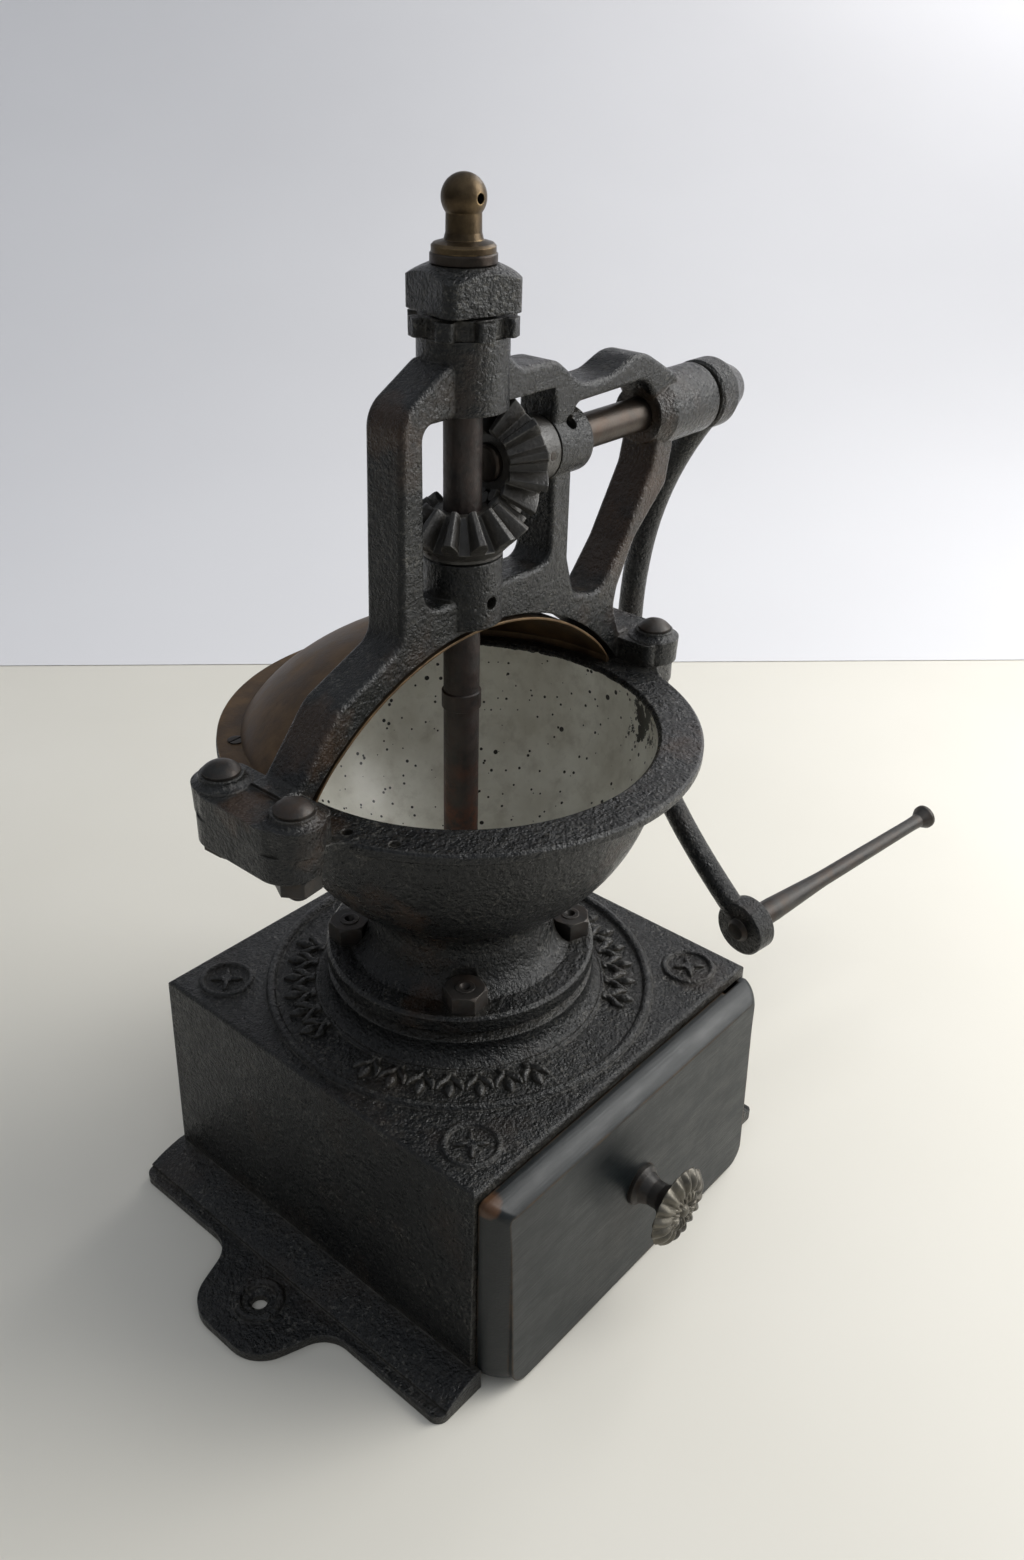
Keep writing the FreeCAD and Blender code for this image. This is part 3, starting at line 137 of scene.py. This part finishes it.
def iron(name, dark=(0.0022, 0.0026, 0.0030), light=(0.0058, 0.0065, 0.0065), dust=0.48, rust=0.2,
         grain=1.0, rough=(0.19, 0.40), shine=0.42, wear=0.55, tint=(0.070, 0.062, 0.048), spots=()):
    """Old painted cast iron: sand-cast grain whose lighter specks are partly painted highlight, dust in the
    corners, rust stains and rubbed edges.
    """
    m = Mat(name)
    patches = m.noise(38, 6, 0.6)
    fine = m.noise(850, 3, 0.6)
    medium = m.noise(400, 4, 0.6)
    lumps = m.noise(140, 3, 0.5)
    pits = m.voronoi(480)
    colour = m.mix(m.remap(patches, 0.38, 0.66), dark, light)
    # Lighter grain specks: partly the casting's own grain tone, partly a painted highlight standing in for
    # glints on the grain.
    colour = m.mix(m.remap(medium, 0.57, 0.72, 0, 0.5 * grain), colour, (0.022, 0.022, 0.020))
    crumbs = m.math("MULTIPLY", m.remap(m.noise(620, 2, 0.5), 0.58, 0.66), m.remap(patches, 0.42, 0.60))
    colour = m.mix(m.math("MULTIPLY", crumbs, 0.48 * grain), colour, (0.135, 0.128, 0.112))
    colour = m.mix(m.remap(m.noise(22, 5, 0.65), 0.55, 0.72, 0, rust), colour, (0.060, 0.030, 0.014))
    for spot, radius in spots:
        ragged = m.math("ADD", m.vmath("DISTANCE", m.position, spot), m.remap(lumps, 0.3, 0.7, -0.004, 0.004))
        colour = m.mix(m.remap(ragged, radius * 0.5, radius, 0.55, 0), colour, (0.048, 0.024, 0.011))
    edges = m.math("MULTIPLY", m.edge(0.0011), m.remap(m.noise(120, 4), 0.40, 0.60), True)
    colour = m.mix(m.math("MULTIPLY", edges, wear), colour, (0.165, 0.158, 0.142))
    hollow = m.math("MULTIPLY", m.recess(0.007), m.remap(medium, 0.30, 0.60, 0.25, 1.0))
    settled = m.math("MULTIPLY", m.up(), m.remap(m.noise(260, 6, 0.7), 0.50, 0.70, 0.0, 0.45))
    dusty = m.math("MULTIPLY", m.math("MAXIMUM", hollow, settled), dust, True)
    colour = m.mix(dusty, colour, tint)
    roughness = m.remap(m.noise(180, 5, 0.6), 0.35, 0.68, *rough)
    roughness = m.math("ADD", roughness, m.math("MULTIPLY", dusty, 0.3), True)
    height = m.math("ADD", m.math("MULTIPLY", fine, 0.6), m.math("MULTIPLY", medium, 1.0))
    height = m.math("ADD", height, m.math("MULTIPLY", lumps, 0.6))
    height = m.math("SUBTRACT", height, m.math("MULTIPLY", m.remap(pits, 0.0, 0.28, 1, 0), 0.35))
    soft = m.node("Bevel", {"Radius": 0.0009}, samples=6).outputs["Normal"]
    normal = m.bump(height, 0.66 * grain, 0.0019, soft)
    return m.finish(Base_Color=colour, Roughness=roughness, Normal=normal,
                    Specular_IOR_Level=shine)


BOWL_CENTRE = (0, 0, 0.222)
ENAMEL_RADIUS, ENAMEL_FOOT, ENAMEL_TOP = 0.0781, 0.147, 0.2262
CHIP_CENTRE = (0.0650, -0.0425, 0.2205)


def hopper_iron(name):
    """The hopper casting: black iron outside and chipped grey-white enamel inside the bowl."""
    material = iron(name, dust=0.40, rust=0.55, grain=0.85)
    m = Mat.__new__(Mat)
    m.material, m.tree = material, material.node_tree
    m.bsdf = m.tree.nodes["Principled BSDF"]
    m.coords = m.node("TexCoord")
    m.position = m.coords.outputs["Object"]
    enamel = m.node("BsdfPrincipled")
    cloud = m.noise(30, 5, 0.6)
    stain = m.noise(90, 6, 0.7)
    white = m.mix(m.remap(cloud, 0.35, 0.68), (0.56, 0.54, 0.46), (0.80, 0.79, 0.71))
    white = m.mix(m.remap(stain, 0.50, 0.76, 0, 0.6), white, (0.34, 0.31, 0.245))
    size_rule = m.remap(m.noise(60, 3), 0.36, 0.62, 0.07, 0.21)
    speck = m.math("LESS_THAN", m.voronoi(250), size_rule)
    speck_big = m.math("LESS_THAN", m.voronoi(95), m.remap(m.noise(45, 2), 0.40, 0.68, 0.0, 0.15))
    specks = m.math("MAXIMUM", speck, speck_big)
    chip_at = m.vmath("DISTANCE", m.position, CHIP_CENTRE)
    chip = m.math("LESS_THAN", m.math("ADD", chip_at, m.remap(m.noise(150, 5, 0.7), 0.3, 0.7, -0.011, 0.011)),
                  0.0085)
    chipped = m.math("MAXIMUM", specks, chip)
    white = m.mix(chipped, white, (0.018, 0.016, 0.014))
    m.feed(enamel.inputs["Base Color"], white)
    m.feed(enamel.inputs["Roughness"], m.remap(stain, 0.3, 0.7, 0.24, 0.42))
    m.feed(enamel.inputs["Normal"], m.bump(m.math("MULTIPLY", m.noise(200, 4), 0.4), 0.15, 0.0006))
    deep = m.vmath("DISTANCE", m.position, BOWL_CENTRE)
    ragged = m.remap(m.noise(170, 5, 0.7), 0.3, 0.7, -0.0006, 0.0006)
    inside = m.math("LESS_THAN", deep, ENAMEL_RADIUS)
    parts = m.node("SeparateXYZ", {0: m.position})
    below = m.math("LESS_THAN", m.math("ADD", parts.outputs["Z"], ragged), ENAMEL_TOP)
    above = m.math("GREATER_THAN", parts.outputs["Z"], ENAMEL_FOOT)
    mask = m.math("MULTIPLY", m.math("MULTIPLY", inside, below), above)
    out = m.tree.nodes["Material Output"]
    blend = m.node("MixShader", {0: mask, 1: m.bsdf.outputs[0], 2: enamel.outputs[0]})
    m.tree.links.new(blend.outputs[0], out.inputs["Surface"])
    return material


def metal(name, dark, light, rough=(0.30, 0.5), metallic=0.85, brown=None, brown_amount=0.4,
          scratch=None, grain=0.3, wear=0.0, bright=(0.5, 0.45, 0.38), shine=0.5):
    """Bare or patinated metal, with stains and optional turning marks along one axis."""
    m = Mat(name)
    cloud = m.noise(70, 6, 0.62)
    fine = m.noise(900, 4, 0.6)
    colour = m.mix(m.remap(cloud, 0.36, 0.66), dark, light)
    if brown:
        colour = m.mix(m.remap(m.noise(120, 6, 0.7), 0.45, 0.68, 0, brown_amount), colour, brown)
    # Painted shade: the colour is darkened towards near-black in corners and recesses, wherever the
    # ambient-occlusion mask is high.
    colour = m.mix(m.math("MULTIPLY", m.recess(0.005), 0.6), colour, (0.012, 0.010, 0.008))
    if wear:
        rubbed = m.math("MULTIPLY", m.edge(0.0009), m.remap(m.noise(160, 4), 0.38, 0.6), True)
        colour = m.mix(m.math("MULTIPLY", rubbed, wear), colour, bright)
    height = m.math("MULTIPLY", fine, 0.5)
    if scratch:
        stretched = m.vmath("MULTIPLY", m.position, scratch)
        height = m.math("ADD", height, m.noise(1.0, 4, 0.6, stretched))
    height = m.math("ADD", height, m.math("MULTIPLY", m.noise(210, 4), 0.8))
    soft = m.node("Bevel", {"Radius": 0.0006}, samples=4).outputs["Normal"]
    return m.finish(Base_Color=colour, Roughness=m.remap(cloud, 0.3, 0.7, *rough),
                    Normal=m.bump(height, grain, 0.0007, soft), Metallic=metallic,
                    Specular_IOR_Level=shine)


def black_wood(name):
    """Black paint over wood, blue-grey where it is polished and brown where it is rubbed through."""
    m = Mat(name)
    grain = m.noise(1.0, 6, 0.6, m.vmath("MULTIPLY", m.position, (35, 900, 900)))
    cloud = m.noise(26, 5, 0.6)
    colour = m.mix(m.remap(cloud, 0.35, 0.7), (0.0050, 0.0072, 0.0082), (0.0105, 0.0135, 0.0145))
    scuffs = m.noise(1.0, 7, 0.72, m.vmath("MULTIPLY", m.position, (60, 160, 160)))
    colour = m.mix(m.remap(scuffs, 0.56, 0.78, 0, 0.35), colour, (0.040, 0.044, 0.044))
    low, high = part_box("drawer_front")
    corner = m.vmath("DISTANCE", m.position, (low[0] + 0.002, low[1] + 0.012, high[2]))
    chip = m.remap(m.math("ADD", corner, m.remap(cloud, 0.3, 0.7, -0.004, 0.004)), 0.004, 0.0055, 0.85, 0)
    colour = m.mix(chip, colour, (0.085, 0.040, 0.018))
    line = m.edge(0.0016, 0.02, 0.14)
    rubbed = m.math("MULTIPLY", line, m.remap(m.noise(75, 5, 0.7), 0.36, 0.60), True)
    colour = m.mix(m.math("MULTIPLY", rubbed, 0.75), colour, (0.115, 0.068, 0.034))
    height = m.math("ADD", m.math("MULTIPLY", grain, 0.6), m.math("MULTIPLY", m.noise(60, 3), 0.9))
    soft = m.node("Bevel", {"Radius": 0.0013}, samples=6).outputs["Normal"]
    rough = m.math("ADD", m.remap(scuffs, 0.35, 0.75, 0.30, 0.52), m.math("MULTIPLY", rubbed, 0.2))
    return m.finish(Base_Color=colour, Roughness=rough, Normal=m.bump(height, 0.16, 0.0012, soft),
                    Specular_IOR_Level=0.30, Coat_Weight=0.04, Coat_Roughness=0.35)


def bare_wood(name):
    m = Mat(name)
    rings = m.noise(1.0, 6, 0.6, m.vmath("MULTIPLY", m.position, (300, 20, 260)))
    colour = m.mix(m.remap(rings, 0.3, 0.7), (0.10, 0.058, 0.03), (0.22, 0.14, 0.08))
    colour = m.mix(m.remap(m.noise(35, 5), 0.5, 0.75, 0, 0.5), colour, (0.05, 0.034, 0.022))
    return m.finish(Base_Color=colour, Roughness=m.remap(rings, 0.3, 0.7, 0.55, 0.8),
                    Normal=m.bump(rings, 0.3, 0.0008))


MATERIALS = {
    "black_iron": iron("black_iron"),
    "burr_iron": iron("burr_iron", (0.03, 0.028, 0.025), (0.08, 0.074, 0.066), grain=0.5, wear=1.0),
    "gear_iron": iron("gear_iron", (0.014, 0.013, 0.012), (0.040, 0.036, 0.031), dust=0.3, rust=0.4,
                      grain=0.35, rough=(0.34, 0.55), wear=0.9, shine=0.6),
    "dark_steel": metal("dark_steel", (0.020, 0.019, 0.018), (0.055, 0.050, 0.046), (0.34, 0.55), 0.5,
                        (0.055, 0.030, 0.016), 0.5, wear=0.5, bright=(0.2, 0.18, 0.15)),
    "worn_steel": metal("worn_steel", (0.020, 0.016, 0.013), (0.062, 0.050, 0.041), (0.30, 0.46), 0.75,
                        (0.050, 0.028, 0.017), 0.6, scratch=(40, 40, 40)),
    "dark_sheet": iron("dark_sheet", grain=0.3),
    "brown_brass": metal("brown_brass", (0.070, 0.040, 0.019), (0.165, 0.100, 0.050), (0.38, 0.58), 0.6,
                         (0.055, 0.034, 0.018), 0.5, grain=0.2, wear=0.5, bright=(0.36, 0.26, 0.13)),
    "dark_brass": metal("dark_brass", (0.040, 0.027, 0.014), (0.115, 0.080, 0.042), (0.28, 0.44), 0.8,
                        (0.030, 0.018, 0.010), 0.5, grain=0.25, wear=0.8, bright=(0.40, 0.28, 0.14)),
    "antique_brass": metal("antique_brass", (0.060, 0.056, 0.048), (0.185, 0.170, 0.138), (0.32, 0.50),
                           0.75, (0.034, 0.030, 0.024), 0.5, grain=0.25, wear=0.9,
                           bright=(0.46, 0.42, 0.34)),
    "black_wood": black_wood("black_wood"),
    "plain_wood": bare_wood("plain_wood"),
}
HOPPER = hopper_iron("hopper_iron")
RELIEF = iron("cast_relief", light=(0.017, 0.017, 0.016), wear=0.9, dust=0.75, grain=0.7)
BRIDGE = iron("bridge_iron", rust=0.35, grain=0.72, dust=0.36, spots=(
    ((-0.079, 0.000, 0.254), 0.017), ((-0.038, 0.000, 0.354), 0.013), ((-0.109, 0.000, 0.2395), 0.012),
    ((0.106, 0.002, 0.306), 0.026), ((0.088, 0.002, 0.278), 0.022), ((0.110, 0.002, 0.330), 0.016)))


def shaft_iron(name):
    """Dark turned iron that goes to red rust in the bowl."""
    m = Mat(name)
    cloud, blotch = m.noise(80, 6, 0.65), m.noise(150, 5, 0.7)
    colour = m.mix(m.remap(cloud, 0.36, 0.66), (0.011, 0.011, 0.011), (0.040, 0.034, 0.031))
    height = m.node("SeparateXYZ", {0: m.position}).outputs["Z"]
    low = m.remap(m.math("ADD", height, m.remap(cloud, 0.3, 0.7, -0.012, 0.012)), 0.190, 0.215, 1, 0.15)
    colour = m.mix(m.math("MULTIPLY", low, m.remap(blotch, 0.36, 0.60)), colour, (0.090, 0.034, 0.020))
    pitted = m.math("ADD", m.math("MULTIPLY", m.noise(500, 4), 0.8), m.math("MULTIPLY", blotch, 0.6))
    return m.finish(Base_Color=colour, Roughness=m.remap(cloud, 0.3, 0.7, 0.36, 0.6), Metallic=0.4,
                    Normal=m.bump(pitted, 0.35, 0.0010), Specular_IOR_Level=0.5)


def dress(obj, material):
    if not obj.data.materials:
        obj.data.materials.append(material)
    for slot in obj.material_slots:
        slot.material = material


slots = {entry["node"]: entry["material_slot"] for entry in frame["record"]["subparts"]}
for name, obj in NODE.items():
    dress(obj, MATERIALS[slots[name]])
dress(NODE["hopper_casting"], HOPPER)
dress(NODE["bridge_casting"], BRIDGE)
dress(NODE["main_shaft"], shaft_iron("shaft_iron"))


# ---------------------------------------------------------------- cast ornament

def strokes(name, lines, depth, body, material, resolution=4):
    """Raised rounded strokes: each line is a list of (point, relative thickness)."""
    curve = bpy.data.curves.new(name, "CURVE")
    curve.dimensions = "3D"
    curve.bevel_depth = depth
    curve.bevel_resolution = resolution
    curve.use_fill_caps = True
    for line in lines:
        spline = curve.splines.new("NURBS")
        spline.points.add(len(line) - 1)
        spline.order_u = 3
        spline.use_endpoint_u = True
        spline.resolution_u = 6
        for point, (spot, size) in zip(spline.points, line):
            point.co = (*spot, 1)
            point.radius = size
    obj = bpy.data.objects.new(name, curve)
    bpy.context.collection.objects.link(obj)
    curve.materials.append(material)
    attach(obj, body)
    return obj


PLATE_TOP = 0.1037        # height of the box's top face
BAND_RADIUS = 0.0700
BAND_STEP = 9.4           # degrees from one leaf to the next
ROUNDEL_AT = 0.0717


def leaf_motif(angle, radius, tall, wide, z):
    """A generic three-leaved sprig: a plump middle leaf and two that lean away from it."""
    out = Vector((math.cos(angle), math.sin(angle), 0))
    along = Vector((-math.sin(angle), math.cos(angle), 0))
    base = out * radius + Vector((0, 0, z))

    def at(u, v, size):
        return (base + along * u * wide + out * v * tall, size)

    lines = [[at(0, -0.12, 0.5), at(0, 0.14, 1.25), at(0, 0.36, 1.15), at(0, 0.56, 0.25)],
             [at(-0.22, -0.50, 0.7), at(0.22, -0.50, 0.7)]]
    for side in (-1, 1):
        lines.append([at(side * 0.04, -0.48, 0.6), at(side * 0.16, -0.20, 0.85),
                      at(side * 0.52, -0.06, 1.05), at(side * 0.60, 0.24, 0.25)])
    return lines


def ornament_band():
    lines = []
    for middle, count in ((-140.6, 7), (140.0, 6), (-38.0, 6), (50.0, 6)):
        for i in range(count):
            angle = math.radians(middle + (i - (count - 1) / 2) * BAND_STEP)
            lines += leaf_motif(angle, BAND_RADIUS, 0.0122, 0.0088, PLATE_TOP + 0.0003)
    return strokes("ornament_band", lines, 0.00170, "base", RELIEF)


def roundel_stars():
    lines = []
    for x in (-ROUNDEL_AT, ROUNDEL_AT):
        for y in (-ROUNDEL_AT, ROUNDEL_AT):
            for k in range(4):
                angle = math.radians(45 + 90 * k)
                step = Vector((math.cos(angle), math.sin(angle), 0))
                base = Vector((x, y, PLATE_TOP + 0.0004))
                lines.append([(base + step * 0.0012, 0.6), (base + step * 0.0040, 1.2),
                              (base + step * 0.0068, 0.35)])
    return strokes("roundel_stars", lines, 0.0013, "base", RELIEF)


ornament_band()
roundel_stars()


# ---------------------------------------------------------------- drawer knob rosette

def rosette():
    """A pressed brass flower: two rows of domed petals round a small button."""
    low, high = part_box("knob_rosette")
    cx, cz = (low[0] + high[0]) / 2, (low[2] + high[2]) / 2
    back_y, reach = high[1], (high[0] - low[0]) / 2
    front_y = low[1]
    depth = back_y - front_y
    rings, sectors, petals = 44, 256, 16
    bm = bmesh.new()

    def relief(t, angle):
        """Height over the back plane, from the centre (t=0) to the rim (t=1)."""
        dome = 0.50 + 0.24 * (1 - t * t)
        wave = 0.5 + 0.5 * math.cos(petals * angle)
        inner = 0.5 + 0.5 * math.cos(petals * angle + math.pi)
        height = dome
        if t < 0.16:
            height += 0.24 * math.sqrt(max(0.0, 1 - (t / 0.16) ** 2))
        elif t < 0.22:
            height -= 0.10
        elif t < 0.55:
            u = (t - 0.22) / 0.33
            height += 0.22 * math.sin(math.pi * min(1, u * 1.05)) * wave ** 0.5 - 0.05 * (1 - wave)
            height -= 0.06 * math.exp(-((angle * petals / math.pi) % 2 - 0) ** 2 * 40)
        if t >= 0.45:
            u = (t - 0.45) / 0.55
            ridge = 0.20 * math.sin(math.pi * min(1, u * 0.9 + 0.08)) * inner ** 0.5
            height += max(0.0, ridge) - 0.12 * (1 - inner) * u
        return height

    def edge(angle):
        return reach * (0.95 + 0.05 * math.sqrt(0.5 + 0.5 * math.cos(petals * angle + math.pi)))

    front, rear = [], []
    for i in range(rings + 1):
        t = i / rings
        row_front, row_rear = [], []
        for j in range(sectors):
            angle = 2 * math.pi * j / sectors
            radius = max(t, 0.001) * edge(angle)
            drop = 0.30 * (t ** 8)
            x, z = cx + radius * math.cos(angle), cz + radius * math.sin(angle)
            y = back_y - depth * min(0.98, max(0.16, relief(t, angle) - drop))
            row_front.append(bm.verts.new((x, y, z)))
            row_rear.append(bm.verts.new((x, back_y - depth * 0.12 * t ** 6, z)))
        front.append(row_front)
        rear.append(row_rear)
    for i in range(rings):
        for j in range(sectors):
            k = (j + 1) % sectors
            bm.faces.new((front[i][j], front[i][k], front[i + 1][k], front[i + 1][j]))
            bm.faces.new((rear[i][j], rear[i + 1][j], rear[i + 1][k], rear[i][k]))
    for j in range(sectors):
        k = (j + 1) % sectors
        bm.faces.new((front[rings][j], front[rings][k], rear[rings][k], rear[rings][j]))
    bm.faces.new(front[0][::-1])
    bm.faces.new(rear[0])
    bmesh.ops.recalc_face_normals(bm, faces=bm.faces)
    mesh = bpy.data.meshes.new("rosette")
    bm.to_mesh(mesh)
    bm.free()
    for polygon in mesh.polygons:
        polygon.use_smooth = True
    obj = bpy.data.objects.new("rosette", mesh)
    bpy.context.collection.objects.link(obj)
    mesh.materials.append(MATERIALS["antique_brass"])
    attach(obj, "drawer")
    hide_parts("knob_rosette")


rosette()


# ---------------------------------------------------------------- stage

def stage_material(name, low, high, scale, rough, bump=0.05):
    m = Mat(name)
    cloud = m.noise(scale, 3, 0.5)
    return m.finish(Base_Color=m.mix(m.remap(cloud, 0.3, 0.7), low, high), Roughness=rough,
                    Normal=m.bump(m.noise(260, 3), bump, 0.0006))


def plane(name, matrix, width, depth, material):
    mesh = bpy.data.meshes.new(name)
    corners = [(x * width, y * depth, 0) for x, y in ((-1, -1), (1, -1), (1, 1), (-1, 1))]
    mesh.from_pydata(corners, [], [(0, 1, 2, 3)])
    obj = bpy.data.objects.new(name, mesh)
    obj.matrix_world = matrix
    bpy.context.collection.objects.link(obj)
    mesh.materials.append(material)
    return obj


AZIMUTH, ELEVATION, ROLL = math.radians(-49.239), math.radians(29.333), math.radians(1.127)
forward = Vector((-math.sin(AZIMUTH), math.cos(AZIMUTH), 0))
sideways = Vector((math.cos(AZIMUTH), math.sin(AZIMUTH), 0))
plane("floor", Matrix.Translation((0, 0, -0.0002)), 6, 6,
      stage_material("floor_paint", (0.735, 0.705, 0.625), (0.78, 0.75, 0.675), 3, 0.55))


def cove(name, line_middle, heading, half_width, reach, material):
    """A backdrop that leaves the floor at a straight line and curves up to a wall far behind it."""
    away = Vector((math.sin(heading), math.cos(heading), 0))
    along = Vector((math.cos(heading), -math.sin(heading), 0))
    profile = [(reach * math.sin(t), reach * (1 - math.cos(t)))
               for t in (math.pi / 2 * k / 64 for k in range(65))] + [(reach, reach * 2)]
    verts, faces = [], []
    for side in (-1, 1):
        for run, rise in profile:
            verts.append(Vector(line_middle) + away * run + along * side * half_width + Vector((0, 0, rise)))
    count = len(profile)
    for k in range(count - 1):
        faces.append((k, k + 1, count + k + 1, count + k))
    mesh = bpy.data.meshes.new(name)
    mesh.from_pydata(verts, [], faces)
    mesh.polygons.foreach_set("use_smooth", [True] * len(faces))
    mesh.materials.append(material)
    obj = bpy.data.objects.new(name, mesh)
    bpy.context.collection.objects.link(obj)


cove("backdrop", (0.430, 0.3256, 0.0004), math.radians(45.84), 5, 3.0,
     stage_material("wall_paint", (0.735, 0.73, 0.745), (0.775, 0.77, 0.785), 1.5, 0.8))


def light(name, spot, target, size, power, colour):
    lamp = bpy.data.lights.new(name, "AREA")
    lamp.shape = "RECTANGLE"
    lamp.size, lamp.size_y = size
    lamp.energy = power
    lamp.color = colour
    obj = bpy.data.objects.new(name, lamp)
    obj.location = spot
    aim = (Vector(target) - Vector(spot)).to_track_quat("-Z", "Y")
    obj.rotation_euler = aim.to_euler()
    bpy.context.collection.objects.link(obj)


centre = Vector((0, 0, 0.2))
light("window", sideways * 1.2 + forward * 0.10 + Vector((0, 0, 0.75)), centre, (0.8, 1.0), 13,
      (1.0, 0.99, 0.965))
light("back_window", sideways * 1.1 + forward * 0.42 + Vector((0, 0, 1.2)), centre, (0.8, 1.0), 8.5,
      (1.0, 0.99, 0.965))
light("backdrop_lamp", forward * 2.1 + sideways * 1.3 + Vector((0, 0, 1.6)),
      forward * 2.3 + sideways * 0.5 + Vector((0, 0, 0.4)), (1.2, 0.8), 18, (1.0, 0.985, 0.975))

world = bpy.data.worlds.new("studio")
world.use_nodes = True
world.node_tree.nodes["Background"].inputs["Color"].default_value = (0.80, 0.84, 0.90, 1)
# The room is dim round the horizon and bright overhead, so upright faces stay dark.
tree = world.node_tree
direction = tree.nodes.new("ShaderNodeTexCoord").outputs["Generated"]
tilt = tree.nodes.new("ShaderNodeVectorMath")
tilt.operation = "DOT_PRODUCT"
tilt.inputs[1].default_value = (Vector((0, 0, 1)) + sideways * 0.22)
tree.links.new(direction, tilt.inputs[0])
fade = tree.nodes.new("ShaderNodeMapRange")
for key, value in (("From Min", -0.15), ("From Max", 0.85), ("To Min", 0.07), ("To Max", 0.66)):
    fade.inputs[key].default_value = value
tree.links.new(tilt.outputs["Value"], fade.inputs["Value"])
tree.links.new(fade.outputs[0], tree.nodes["Background"].inputs["Strength"])
bpy.context.scene.world = world


# ---------------------------------------------------------------- camera

eye = Vector((-0.342854, -0.313894, 0.474688))
back = Vector((math.sin(AZIMUTH) * math.cos(ELEVATION), -math.cos(AZIMUTH) * math.cos(ELEVATION),
               math.sin(ELEVATION)))
right = sideways
up = back.cross(right)
turn_right = right * math.cos(ROLL) + up * math.sin(ROLL)
turn_up = up * math.cos(ROLL) - right * math.sin(ROLL)
lens = bpy.data.cameras.new("camera")
lens.sensor_width = 36
lens.lens = 36 * 1335.03 / 1560
lens.shift_x = (512 - 495.96) / 1560
lens.shift_y = (755.92 - 780) / 1560
lens.clip_start, lens.clip_end = 0.01, 30
camera = bpy.data.objects.new("camera", lens)
camera.matrix_world = Matrix((
    (turn_right.x, turn_up.x, back.x, eye.x), (turn_right.y, turn_up.y, back.y, eye.y),
    (turn_right.z, turn_up.z, back.z, eye.z), (0, 0, 0, 1)))
bpy.context.collection.objects.link(camera)
bpy.context.scene.camera = camera
bpy.context.scene.view_settings.view_transform = "Standard"
